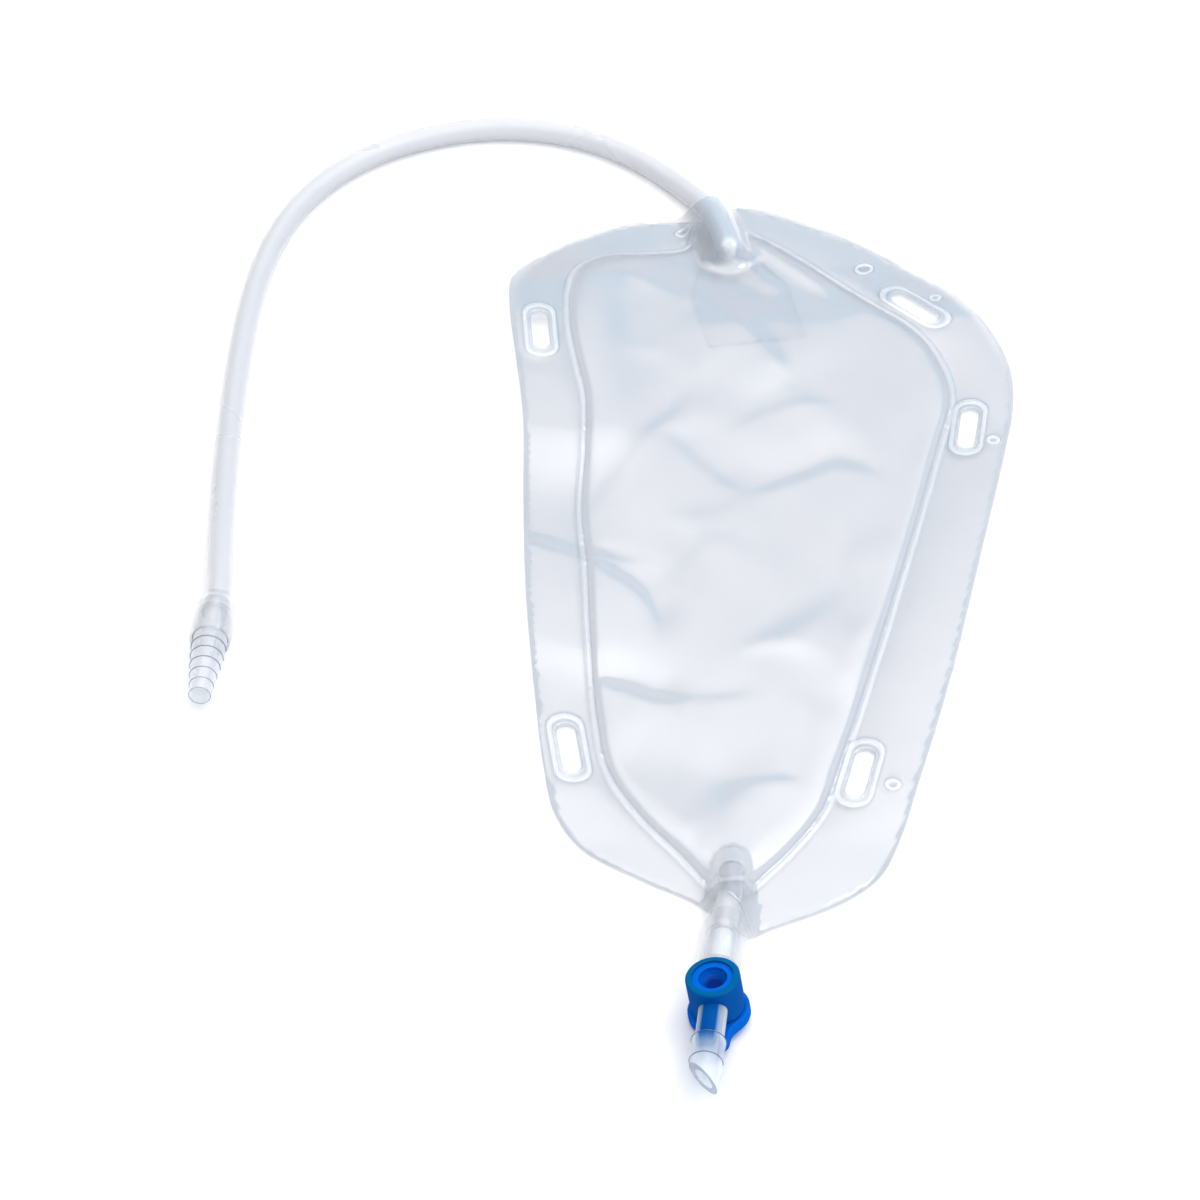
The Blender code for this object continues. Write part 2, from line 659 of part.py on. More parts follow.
def flap_loop():
    """The plan outline of the non-return flaps, widening from the hose's inner end."""
    start, ahead = HOSE_LINE[0, :2], HOSE_LINE[0, :2] - HOSE_LINE[6, :2]
    ahead = ahead / np.linalg.norm(ahead)
    across = np.array([-ahead[1], ahead[0]])
    mouth, end = FLAP_MOUTH / 2, FLAP_END / 2
    shape_points = (
        (-FLAP_OVERLAP, -mouth), (-FLAP_OVERLAP, 0.0), (-FLAP_OVERLAP, mouth),
        (0.0, mouth + 2.0), (FLAP_FLARE, end), (FLAP_LENGTH / 2, end),
        (FLAP_LENGTH, end), (FLAP_LENGTH, 0.0), (FLAP_LENGTH, -end),
        (FLAP_LENGTH / 2, -end), (FLAP_FLARE, -end), (0.0, -mouth - 2.0),
    )
    loop = np.array([start + ahead * u + across * v for u, v in shape_points])
    fine = spaced(loop, 1.5, closed=True)[::-1]
    return finer_near(fine, (HOSE_LINE[:FLAP_STEPS],), 8.0, 3)


def make_flaps(finish):
    """The two thin flaps that close when the bag presses on them."""
    outer = flap_loop()
    kept = thinned(hose_rows(HOSE_LINE[:TUNNEL_STEPS], 5.0), outer, 1.25)
    kept += thinned(grid_points(outer.min(axis=0), outer.max(axis=0), 7.0), [*outer, *kept], 4.0)
    kept = np.array(kept)
    kept = kept[depth_inside(kept, outer) > 1.5]
    plan, faces = plan_mesh(outer, [], kept)
    base = back_top(plan)
    film_object("nonreturn_back_flap", plan, faces, base + FIT, FLAP_THICK, True, finish)
    lifted = base + 2 * FIT + FLAP_THICK
    round_hose = over_tube(plan, HOSE_LINE[:TUNNEL_STEPS], HOSE_OD / 2 + FIT + 0.3)
    height = larger(lifted, round_hose)
    film_object("nonreturn_front_flap", plan, faces, height, FLAP_THICK, True, finish)


def make_hose(finish):
    """The drain hose, from its inner end between the films to the upper sleeve."""
    route = spaced(HOSE_LINE, HOSE_SPACING)
    add_curve = tube_curve("drain_hose", route, HOSE_OD / 2, 3, True)
    made = bpy.data.objects.new("drain_hose", add_curve)
    bpy.data.collections[PART_NAME].objects.link(made)
    add_curve.materials.append(finish)


def make_stub(finish):
    """The short outlet hose, a bent tube with an open bore."""
    curve = tube_curve("outlet_stub_path", spaced(STUB_LINE, 2.6), STUB_OD / 2, 6, False)
    guide = bpy.data.objects.new("outlet_stub_path", curve)
    bpy.context.scene.collection.objects.link(guide)
    graph = bpy.context.evaluated_depsgraph_get()
    mesh = bpy.data.meshes.new_from_object(guide.evaluated_get(graph))
    bpy.data.objects.remove(guide)
    merge_close(mesh)
    mesh.shade_smooth()
    made = add_object("outlet_stub", mesh, finish)
    wall = made.modifiers.new("wall", "SOLIDIFY")
    wall.thickness = (STUB_OD - STUB_BORE) / 2 * MM
    wall.offset = -1.0


def sleeve_profile(neck_od, held_od):
    """A soft joining sleeve: its mouth at height 0 grips held_od, its neck neck_od."""
    mouth = held_od / 2 + FIT
    neck = neck_od / 2 + FIT
    outside = SLEEVE_OD / 2
    neck_outside = neck + SLEEVE_WALL
    profile = [(neck, SLEEVE_LENGTH), (neck_outside, SLEEVE_LENGTH)]
    for k in range(1, 7):
        share = 0.5 - 0.5 * math.cos(math.pi * k / 6)
        radius = neck_outside + (outside - neck_outside) * share
        profile.append((radius, SLEEVE_LENGTH - SLEEVE_SHOULDER * k / 6))
    profile += [
        (outside, SLEEVE_MOUTH_TAPER),
        (mouth + SLEEVE_WALL, 0.0),
        (mouth, 0.0),
        (mouth, SLEEVE_GRIP),
        (neck, SLEEVE_GRIP + FIT),
    ]
    return profile


def make_connector(finish, sleeve_finish):
    """The upper sleeve and the stepped connector at the free end of the hose."""
    end = Vector(HOSE_LINE[-1]) * MM
    back = Vector(HOSE_LINE[-3] - HOSE_LINE[-1]).normalized()
    turn = back.to_track_quat("Z", "Y").to_matrix().to_4x4()
    mouth = end - back * (SLEEVE_GRIP + 2 * FIT) * MM
    frame = add_frame("connector_place", Matrix.Translation(mouth) @ turn)
    sleeve = turned_mesh("connector_sleeve", sleeve_profile(HOSE_OD, CONNECTOR_RIMS[0]), ROUND_STEPS)
    place_on(add_object("connector_sleeve", sleeve, sleeve_finish), frame)
    bore = CONNECTOR_BORE / 2
    root = CONNECTOR_RIMS[0] / 2 - CONNECTOR_STEP / 2
    profile = [(bore, SLEEVE_GRIP - FIT), (root - 0.4, SLEEVE_GRIP - FIT)]
    profile += [(root, SLEEVE_GRIP - FIT - 0.6), (root, CONNECTOR_FIRST_RIM + 0.2)]
    height = CONNECTOR_FIRST_RIM
    smaller = (*CONNECTOR_RIMS[1:], CONNECTOR_TIP + CONNECTOR_STEP)
    for rim, after in zip(CONNECTOR_RIMS, smaller):
        profile += [(rim / 2, height)]
        height -= CONNECTOR_PITCH
        profile += [((after - CONNECTOR_STEP) / 2, height + 0.1)]
    profile += [(CONNECTOR_TIP / 2 - 0.1, height), (bore, height)]
    cone = turned_mesh("stepped_connector", profile, ROUND_STEPS)
    place_on(add_object("stepped_connector", cone, finish), frame)


def flow_profile():
    """The outer shape along the flow line from the barb's end to the spigot's tip."""
    high = SLEEVE_START + FIT + BARB_LENGTH
    low = SLEEVE_START + 2 * FIT
    barb, behind = BARB_OD / 2, BARB_TIP_OD / 2
    profile = [(0.0, -high), (behind, -high), (barb, -low - 1.2), (barb, -low)]
    profile += [(behind, FIT - low), (behind, 0.0), (SPIGOT_OD / 2, 0.0)]
    root = SPIGOT_OD / 2
    for start, rim, after in SPIGOT_RIMS:
        end = SPIGOT_RIMS[1][0] if start < SPIGOT_RIMS[1][0] else SPIGOT_TIP
        profile += [(root, start - 0.3), (rim / 2 - 0.1, start - 0.25), (rim / 2, start)]
        root = after / 2
    return [*profile, (root, SPIGOT_TIP), (0.0, SPIGOT_TIP)]


def make_valve_body(frame, finish):
    """The clear body: an upright barrel with a barb to the bag and an outlet spigot."""
    barrel = BARREL_OD / 2
    soft = BARREL_EDGE
    profile = [
        (0.0, BARREL_TOP), (barrel - soft, BARREL_TOP), (barrel, BARREL_TOP - soft),
        (barrel, BARREL_BOTTOM + soft), (barrel - soft, BARREL_BOTTOM), (0.0, BARREL_BOTTOM),
    ]
    body = add_object("valve_body", turned_mesh("valve_body", profile, ROUND_STEPS), finish)
    outward = Matrix.Rotation(math.radians(90), 4, "X")
    through = outward @ Matrix.Rotation(math.radians(180 / FINE_STEPS), 4, "Z")
    run = turned_mesh("flow_run", flow_profile()[::-1], FINE_STEPS)
    shape(body, tool_object("flow_run", run, outward), "UNION")
    cut = bpy.data.meshes.new("slant_cut")
    work = bmesh.new()
    bmesh.ops.create_cube(work, size=40 * MM)
    work.to_mesh(cut)
    work.free()
    middle = Matrix.Translation((0.0, (SPIGOT_TIP_OD / 2 + 0.1 - SPIGOT_TIP) * MM, 0.0))
    slant = Matrix.Rotation(math.radians(-SPIGOT_CUT_DEG), 4, "Z")
    beyond = Matrix.Translation((0.0, -20 * MM, 0.0))
    shape(body, tool_object("slant_cut", cut, middle @ slant @ beyond), "DIFFERENCE")
    shape(body, rod("flow_bore", FLOW_BORE / 2, -50.0, 50.0, through), "DIFFERENCE")
    bore = PLUG_OD / 2 + PLUG_CLEAR
    shape(body, rod("barrel_bore", bore, -20.0, 20.0, Matrix(), ROUND_STEPS), "DIFFERENCE")
    body.data.materials.clear()
    body.data.materials.append(finish)
    body.data.set_sharp_from_angle(angle=math.radians(SHARP_DEG))
    place_on(body, frame)


def handle_outline():
    """The handle's flat outline: a round flange with a thumb tab over the outlet."""
    radius = HANDLE_OD / 2 - HANDLE_EDGE
    half = TAB_WIDTH / 2 - HANDLE_EDGE
    reach = TAB_REACH - HANDLE_EDGE
    drop = math.sqrt((radius + TAB_FILLET) ** 2 - (half + TAB_FILLET) ** 2)
    meet = math.atan2(-drop, half + TAB_FILLET)
    points = []
    for k in range(5):
        turn = math.radians(-90 + 90 * k / 4)
        points.append((half - TAB_CORNER + TAB_CORNER * math.cos(turn),
                       -reach + TAB_CORNER + TAB_CORNER * math.sin(turn)))
    for k in range(4):
        turn = math.pi - k / 3 * (math.pi - (meet + math.pi))
        points.append((half + TAB_FILLET + TAB_FILLET * math.cos(turn),
                       -drop + TAB_FILLET * math.sin(turn)))
    sweep = math.pi / 2 - meet
    for k in range(1, 13):
        turn = meet + sweep * k / 12
        points.append((radius * math.cos(turn), radius * math.sin(turn)))
    return points + [(-x, y) for x, y in reversed(points[:-1])]


def make_plug(frame, finish):
    """The turning plug: a bored core with a dished end, and its handle, in one piece."""
    core = PLUG_OD / 2
    low = BARREL_BOTTOM - HANDLE_GAP
    floor = PLUG_TOP - PLUG_DISH_DEPTH
    dish, dish_floor = PLUG_DISH_OD / 2, PLUG_DISH_FLOOR_OD / 2
    profile = [(0.0, floor)]
    for k in range(5):
        turn = math.pi / 2 * k / 4
        profile.append((dish_floor + (dish - dish_floor) * math.sin(turn),
                        PLUG_TOP - PLUG_DISH_DEPTH * math.cos(turn)))
    profile += [(core - 0.3, PLUG_TOP), (core, PLUG_TOP - 0.3), (core, low - 1.0), (0.0, low - 1.0)]
    plug = add_object("valve_plug", turned_mesh("valve_plug", profile, ROUND_STEPS), finish)
    curve = bpy.data.curves.new("handle", "CURVE")
    curve.dimensions = "2D"
    curve.fill_mode = "BOTH"
    curve.extrude = (HANDLE_THICK / 2 - HANDLE_EDGE) * MM
    curve.bevel_depth = HANDLE_EDGE * MM
    curve.bevel_resolution = 1
    spline = curve.splines.new("POLY")
    outline = handle_outline()
    spline.points.add(len(outline) - 1)
    for point, (x, y) in zip(spline.points, outline):
        point.co = (x * MM, y * MM, 0.0, 1.0)
    spline.use_cyclic_u = True
    flat = bpy.data.objects.new("handle", curve)
    bpy.context.scene.collection.objects.link(flat)
    graph = bpy.context.evaluated_depsgraph_get()
    mesh = bpy.data.meshes.new_from_object(flat.evaluated_get(graph))
    bpy.data.objects.remove(flat)
    merge_close(mesh)
    down = Matrix.Translation((0.0, 0.0, (low - HANDLE_THICK / 2) * MM))
    shape(plug, tool_object("handle", mesh, down), "UNION")
    outward = Matrix.Rotation(math.radians(90), 4, "X")
    shape(plug, rod("cross_bore", FLOW_BORE / 2, -20.0, 20.0, outward), "DIFFERENCE")
    plug.data.materials.clear()
    plug.data.materials.append(finish)
    plug.data.set_sharp_from_angle(angle=math.radians(SHARP_DEG))
    place_on(plug, frame)


def make_outlet(frame, finish):
    """The lower sleeve that joins the outlet stub to the valve's barb."""
    sleeve = turned_mesh("outlet_sleeve", sleeve_profile(STUB_OD, BARB_OD), ROUND_STEPS)
    made = add_object("outlet_sleeve", sleeve, finish)
    made.location = (0.0, SLEEVE_START * MM, 0.0)
    made.rotation_euler = (math.radians(-90), 0.0, 0.0)
    place_on(made, frame)


def main():
    for old in list(bpy.data.objects):
        bpy.data.objects.remove(old)
    for name in (PART_NAME, "shaping_tools"):
        bpy.context.scene.collection.children.link(bpy.data.collections.new(name))
    film = material("clear_film", (0.88, 0.89, 0.92), 0.25, 0.8)
    hose = material("milky_hose", (0.86, 0.86, 0.90), 0.3, 0.6)
    soft = material("soft_sleeve", (0.90, 0.90, 0.92), 0.3, 0.6)
    clear = material("clear_moulding", (0.90, 0.94, 0.98), 0.06, 0.9)
    blue = material("blue_moulding", (0.0, 0.08, 0.56), 0.25)
    make_films(film)
    make_flaps(film)
    make_hose(hose)
    make_stub(hose)
    make_connector(clear, soft)
    valve = add_frame("valve_place", valve_turn())
    make_valve_body(valve, clear)
    make_plug(valve, blue)
    make_outlet(valve, soft)


if __name__ == "__main__":
    main()
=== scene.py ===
"""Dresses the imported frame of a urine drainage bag: its films, drain hose, sleeves and valve.

Metres, +Z up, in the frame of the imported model. Plan points and small sizes are written in
millimetres, as a maker's drawing has them, and are turned to metres where a mesh is made.
"""

import math

import bpy
import numpy as np
from bpy.props import FloatProperty, FloatVectorProperty, IntProperty, PointerProperty
from mathutils import Matrix, Vector
from mathutils.geometry import delaunay_2d_cdt


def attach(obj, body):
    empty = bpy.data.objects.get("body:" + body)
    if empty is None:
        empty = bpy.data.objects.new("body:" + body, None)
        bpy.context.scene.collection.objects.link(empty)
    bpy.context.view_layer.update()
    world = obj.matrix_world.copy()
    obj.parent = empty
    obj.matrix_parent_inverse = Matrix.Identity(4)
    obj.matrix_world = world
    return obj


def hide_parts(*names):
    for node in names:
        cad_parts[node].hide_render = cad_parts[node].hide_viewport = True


bl_info = {
    "name": "Urine drainage bag",
    "version": (1, 0, 0),
    "blender": (4, 5, 0),
    "location": "3D View > Sidebar > Drainage Bag",
    "description": "Films, hose, sleeves, valve finishes and the stage of a urine drainage bag",
    "category": "Add Mesh",
}

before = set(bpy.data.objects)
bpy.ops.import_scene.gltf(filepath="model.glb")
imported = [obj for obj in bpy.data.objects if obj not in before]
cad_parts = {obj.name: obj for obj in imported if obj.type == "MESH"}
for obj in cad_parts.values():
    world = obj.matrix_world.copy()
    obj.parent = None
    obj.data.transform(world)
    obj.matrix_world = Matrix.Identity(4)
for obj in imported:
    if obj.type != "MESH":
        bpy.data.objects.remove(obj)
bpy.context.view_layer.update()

MM = 0.001
BAG = "bag"


def linear(hex_colour):
    """An sRGB hex colour as linear red, green and blue."""
    parts = [int(hex_colour[k : k + 2], 16) / 255 for k in (1, 3, 5)]
    return tuple(c / 12.92 if c <= 0.04045 else ((c + 0.055) / 1.055) ** 2.4 for c in parts)


# The die-cut edge of the bag, anticlockwise from the inlet, in millimetres.
EDGE = (
    (-11.8, 177.0), (-25.5, 175.9), (-40.2, 173.2), (-58.6, 162.4), (-68.4, 152.0),
    (-73.0, 142.0), (-73.4, 128.0), (-71.0, 103.0), (-68.4, 74.0), (-67.8, 40.0),
    (-66.4, -1.3), (-63.4, -41.1), (-60.8, -68.0), (-57.8, -84.5), (-50.8, -96.8),
    (-36.5, -107.2), (-22.2, -115.9), (-18.2, -121.0), (-14.6, -124.6), (-11.0, -127.0),
    (-4.0, -123.6), (12.5, -115.5), (22.6, -106.6), (28.6, -93.5), (34.2, -74.9),
    (45.9, -33.4), (59.7, 23.9), (68.2, 60.0), (72.9, 84.0), (72.9, 102.0),
    (68.0, 121.0), (59.5, 137.5), (44.7, 152.6), (30.3, 165.6), (15.4, 175.3),
    (3.2, 181.9), (-4.6, 183.8),
)
# The weld that closes the chamber, the same way round.
SEAM = (
    (-15.6, 171.0), (-20.5, 160.8), (-33.0, 158.2), (-46.4, 155.6), (-53.4, 147.6),
    (-56.2, 134.6), (-56.2, 119.5), (-54.2, 103.0), (-51.6, 86.0), (-51.4, 62.0),
    (-52.4, 36.0), (-50.9, 12.0), (-49.8, -20.0), (-48.0, -49.9), (-44.9, -69.5),
    (-36.5, -86.5), (-26.5, -100.4), (-19.4, -111.6), (-16.4, -117.6), (-12.6, -116.4),
    (-8.3, -110.4), (1.4, -98.2), (10.3, -83.8), (16.0, -65.5), (21.1, -48.0),
    (31.3, -10.6), (42.3, 31.3), (51.0, 66.0), (55.3, 84.0), (55.2, 96.0),
    (51.6, 110.0), (46.0, 120.6), (36.4, 131.0), (25.5, 143.2), (12.5, 157.8),
    (2.0, 167.6), (-6.4, 172.6),
)
# Strap slots: centre and lean from the bag's long axis in degrees.
SLOTS = (
    (-64.0, 115.3, 3.9),
    (-54.4, -60.8, 7.4),
    (47.7, 130.2, 41.9),
    (58.9, 72.3, -9.7),
    (19.9, -69.7, -14.5),
)
# Small raised ovals that the welding tool leaves: centre, half width and half length, lean.
TOOL_MARKS = (
    (54.0, 134.6, 1.7, 1.3, 42.0),
    (65.5, 66.1, 1.5, 1.5, 0.0),
    (28.0, -74.4, 1.6, 1.6, 0.0),
    (33.6, 150.5, 2.6, 2.2, 42.0),
    (-20.6, 169.5, 2.4, 1.6, 20.0),
)
# Creases in the front film: points, rise (below zero for a valley), and the reach of the slope
# to the right and to the left of the way the points run. A short reach makes a sharp line.
CREASES = (
    (((-60.0, 143.5), (-45.0, 141.0), (-30.0, 137.0), (-20.0, 131.5), (-10.0, 125.5), (-2.0, 121.5),
      (8.0, 119.5), (18.0, 119.5), (28.0, 122.0), (36.0, 128.0), (44.0, 136.0)), 0.9, 34.0, 11.0),
    (((-57.0, 18.0), (-46.0, 11.5), (-40.0, 7.0), (-35.0, 2.5), (-32.0, -3.0), (-30.5, -10.0),
      (-29.0, -21.0)), -0.5, 2.2, 8.0),
    (((-16.0, 100.0), (-17.5, 90.0), (-19.0, 84.0), (-23.5, 76.0), (-29.5, 69.0), (-34.5, 61.0),
      (-39.5, 49.0), (-44.5, 37.0), (-51.0, 20.0)), 0.3, 3.4, 16.0),
    (((-28.0, 73.0), (-20.0, 62.0), (-15.0, 55.0), (-10.0, 48.5), (-3.0, 42.0)), -0.28, 3.4, 12.0),
    (((-10.0, 41.0), (0.0, 46.0), (5.0, 49.0), (10.0, 51.5), (16.0, 55.0), (20.0, 57.0),
      (25.0, 56.0), (30.0, 53.0), (37.0, 48.0)), -0.32, 3.0, 10.0),
    (((-3.0, 42.0), (-8.0, 34.5), (-13.0, 30.5), (-20.0, 29.0), (-30.0, 29.0)), 0.14, 4.5, 12.0),
    (((-4.0, 23.0), (-15.0, 19.0), (-20.0, 11.5), (-25.0, 2.5), (-29.0, -10.0)), 0.16, 4.0, 14.0),
    (((28.5, 30.0), (25.5, 16.0), (23.0, 5.0), (24.0, -5.0), (26.0, -12.0), (24.0, -20.0),
      (20.0, -32.0)), 0.2, 3.5, 14.0),
    (((-12.0, 63.0), (-3.0, 72.0), (3.0, 76.0), (9.0, 79.0), (16.0, 80.5), (26.0, 80.5)),
     0.2, 12.0, 3.2),
    (((-5.0, 96.0), (4.0, 89.5), (11.0, 83.5), (17.0, 79.0)), 0.14, 10.0, 4.0),
    (((-60.0, -33.0), (-50.0, -34.0), (-44.0, -34.5), (-38.0, -36.0), (-32.0, -39.0),
      (-22.0, -43.5)), -1.0, 3.0, 8.0),
    (((-38.0, -38.0), (-26.0, -41.0), (-18.0, -41.5), (-10.0, -40.5), (-2.0, -40.0)),
     -0.16, 2.2, 8.0),
    (((-12.0, -23.5), (1.0, -21.0), (8.0, -22.5), (13.0, -26.5), (16.5, -32.5), (19.5, -40.0),
      (20.0, -50.0)), 0.62, 4.5, 18.0),
    (((-50.0, -60.5), (-35.0, -66.5), (-30.0, -67.5), (-22.0, -71.0), (-15.0, -77.0),
      (-9.0, -83.0)), -0.6, 16.0, 13.0),
    (((-16.0, -81.0), (-10.0, -77.5), (-6.0, -75.8), (-2.0, -75.2), (6.0, -75.0)), 0.22, 6.0, 1.4),
    (((-11.5, -73.0), (-11.0, -88.0), (-11.5, -95.0), (-12.0, -102.0), (-12.5, -116.0)),
     0.3, 5.0, 6.0),
    (((2.0, -40.0), (8.0, -47.5), (10.5, -53.0), (10.0, -60.0), (9.0, -68.0), (8.0, -76.0),
      (9.5, -92.0)), 0.18, 3.0, 8.0),
    (((-40.0, 110.0), (-26.0, 105.0), (-20.5, 99.0), (-16.0, 88.0)), 0.12, 5.0, 10.0),
    (((-11.0, 132.0), (-4.0, 117.5), (0.0, 109.5), (4.0, 101.0), (8.0, 88.0)), 0.5, 16.0, 3.2),
    (((-9.0, 174.0), (2.0, 160.0), (11.0, 149.5), (18.0, 141.0), (26.0, 128.0)), 0.5, 3.0, 3.0),
    (((-3.0, 174.0), (8.0, 160.0), (18.0, 149.0), (30.0, 134.0)), 0.35, 3.0, 3.0),
    (((-9.0, 162.0), (-3.0, 151.0), (2.0, 143.0), (7.0, 131.0)), 0.4, 4.0, 4.0),
    (((-25.0, -90.0), (-22.0, -99.0), (-15.0, -108.0)), -0.2, 2.0, 4.0),
)
# Creases that cross the welded flange, in both films: as above, and all rise.
FLANGE_CREASES = (
    (((-100.0, 21.5), (-69.0, 20.0), (-62.0, 18.5), (-56.0, 15.5), (-30.0, 8.0)), 0.6, 28.0, 2.4),
    (((-110.0, 71.0), (-68.0, 71.0), (-60.0, 70.5), (-20.0, 70.0)), 1.5, 16.0, 80.0),
    (((-110.0, 141.0), (-72.0, 141.0), (-60.0, 141.5), (-25.0, 141.0)), 2.4, 55.0, 12.0),
    (((-100.0, -17.0), (-66.0, -17.5), (-58.0, -20.0), (-30.0, -28.0)), 0.9, 9.0, 40.0),
    (((20.0, 130.0), (40.0, 129.0), (60.0, 127.5), (100.0, 125.0)), 0.5, 40.0, 12.0),
)
# Slow billows of the loose film in the chamber: centre, rise and reach across and along.
BILLOWS = (
    (-4.0, 20.0, -0.4, 50.0, 50.0),
    (-18.0, -116.0, 1.5, 20.0, 42.0),
)
# Waves that lift both welded films off the surface: centre, rise and reach across and along.
WAVES = (
    (66.0, 30.0, 0.5, 9.0, 30.0),
    (74.0, 95.0, 0.15, 10.0, 22.0),
)
# The hose from its inner end in the bag to the connector: place and lift off the surface.
HOSE_ROUTE = (
    (-7.4, 154.6, 1.35), (-9.4, 164.8, 1.35), (-12.6, 176.2, 1.1), (-17.4, 185.4, 0.4),
    (-24.6, 195.4, 0.0), (-34.2, 205.9, 0.0), (-46.7, 215.3, 0.0), (-59.2, 220.9, 0.0),
    (-71.9, 223.3, 0.0), (-84.6, 223.0, 0.0), (-100.1, 218.8, 0.0), (-115.1, 210.6, 0.0),
    (-128.2, 198.4, 0.0), (-138.4, 182.4, 0.0), (-145.0, 164.3, 0.0), (-149.0, 143.8, 0.0),
    (-150.9, 123.5, 0.0), (-151.7, 101.4, 0.0), (-151.9, 82.4, 0.0), (-151.8, 63.9, 0.0),
    (-151.4, 45.9, 0.1), (-150.7, 28.4, 0.6), (-149.6, 10.0, 1.6), (-148.7, -3.5, 2.25),
    (-148.75, -8.4, 2.25), (-148.95, -13.5, 2.25),
)
# The outlet stub between the films; its last part follows the valve's flow line.
STUB_RUN = (
    (-14.0, -108.5, 1.6), (-14.3, -113.0, 2.7), (-14.7, -117.5, 4.0), (-15.1, -121.5, 5.0),
)

# Sizes that the pieces here share with the solids they stand for, in millimetres.
FILM, WELD_GAP, FIT, SURFACE_CLEAR = 0.35, 0.3, 0.3, 0.02
HOSE_OD, HOSE_BORE, STUB_OD, STUB_BORE = 7.0, 5.0, 6.4, 4.6
FLAP_THICK, FLAP_MOUTH, FLAP_END, FLAP_FLARE = 0.2, 13.0, 30.0, 15.0
FLAP_LENGTH, FLAP_OVERLAP, FLAP_GAP, FLAP_SPACING = 42.0, 6.0, 0.5, 2.2
SLEEVE_OD, SLEEVE_LENGTH, SLEEVE_SHOULDER, SLEEVE_WALL = 11.4, 17.0, 6.0, 0.35
SLEEVE_GRIP, SLEEVE_MOUTH_TAPER, SLEEVE_START = 10.6, 8.0, 7.9
CONNECTOR_RIMS, BARB_OD = (9.3, 9.2, 8.7, 8.05, 7.25, 6.4), 8.2
SPIGOT_RIMS = ((15.6, 8.2), (22.0, 7.9))
# How far apart the connector's rims are, the radius of its mouth, and the section of the lip at
# the plug's upper edge as (radius, height).
RIM_STEP, TIP_RADIUS = 3.65, 2.85
PLUG_LIP = ((4.4, 4.95), (4.98, 4.95), (4.98, 5.0), (4.4, 5.0))
# Where the valve's colours change, in its own frame: the barrel's side and the foot of its top
# ring, the spigot's root along Y with its painted reflection of the blue plug, its painted
# highlight bars at the sides, the distance from the axis of the slanting cut's painted shade line,
# and the side and the floor of the painted shade in the plug's dish. The whole body is a little
# milky.
BARREL_SIDE, RING_FOOT, SPIGOT_REFLECTION_ALONG, REFLECTION_SIDE = (6.6, 6.9), (5.1, 5.6), (-23.5, -15.0), (1.5, 3.0)
HIGHLIGHT_BAR_SIDE, CUT_AT, CUT_SHADE_WIDTH = (2.6, 3.2), 27.0, (0.05, 0.08)
DISH_SHADE_SIDE, DISH_SHADE_FLOOR = (1.4, 3.7), (-1.0, 0.0)
LEAST_MILKY = 0.36
SLOT_WIDTH, SLOT_LENGTH = 5.0, 18.0
# How far the weld round a slot reaches beyond its side and beyond its end.
RING_SIDE, RING_END = 2.35, 4.0
# How many points of the hose's line lie between the films, how far along it comes out of them,
# and the spacing of the rings that make it.
TUNNEL_STEPS, HOSE_EXIT, HOSE_STEP = 60, 22.8, 2.4
# The valve's place, as the solids have it: its barrel's axis is Z and its flow line is Y.
VALVE_AT = Vector((-0.0192, -0.1524, 0.008996))
VALVE_UP = Vector((-0.155201, 0.019606, 0.987688))
VALVE_FLOW = Vector((0.125333, 0.992115, 0.0))

# How the films lie, in millimetres: the loose film over the chamber and the lift of the edge.
PILLOW_HEIGHT, PILLOW_START, PILLOW_REACH, LOOSE_REACH = 2.1, 0.9, 0.7, 5.0
EDGE_LIFT, EDGE_REACH, BEAD_REACH = 1.1, 7.0, 0.65
# Towards the bag's ends the edge lies flatter: where on Y, over what reach, and the least share.
END_FADES = ((155.0, 30.0, 0.12), (-100.0, -25.0, 0.2))
# How far the flange's creases run into the chamber, how far beside the hose and the stub the
# films lie flat, how far beside the stub it lifts the back film, and where waves start.
CREASE_REACH, TUBE_REACH, STUB_REACH, WAVE_REACH = 40.0, 13.0, 3.6, 8.0
# How far beside the hose the film that grips it is milky.
GRIP_REACH = 6.5
# How steep the front film falls away from the hose and the stub and a flap from the hose, in
# degrees, and the room that each leaves over the tube.
HOSE_SLOPE, STUB_SLOPE, FLAP_SLOPE = 52.0, 74.0, 60.0
HOSE_ROOM, STUB_ROOM, FLAP_ROOM = 0.6, 0.5, 0.3
# How softly the front film turns up to each tube.
HOSE_CORNER, STUB_CORNER = 2.0, 1.2
# Ridges of the weld round a slot, from its edge (0) to its outer side (1): place, reach, rise.
SLOT_RIDGES = ((0.75, 0.3, 0.1), (0.2, 0.14, 0.06))
MARK_RISE, MARK_REACH = 0.12, 0.5
# Rows of mesh points round each slot, each tool mark and along the weld.
SLOT_ROWS = (0.2, 0.36, 0.55, 0.75, 0.95, 1.12, 1.35, 1.7)
MARK_ROWS = (-0.8, -0.4, 0.0, 0.4, 0.9)
SEAM_ROWS = (0.0, 0.45, -0.45, 0.9, -0.9, 1.35, -1.35, 1.9, -1.9, 2.6, -2.6, 3.5, -3.5, 5.0)
TUBE_SIDES = (0.0, 1.1, 2.2, 3.1, 4.0, 5.2, 6.4)
# Spacing of mesh points along the cut edge, the weld and the creases, and the least distance
# between two of them, to the edge and to a slot.
EDGE_STEP, SEAM_STEP, LEAST_GAP, EDGE_GAP, SLOT_GAP = 1.2, 1.3, 0.36, 0.45, 0.3


# Plan curves


def blend_point(p, q, low, high, t):
    """The point at t between p, at low, and q, at high."""
    return p + (q - p) * ((t - low) / (high - low))


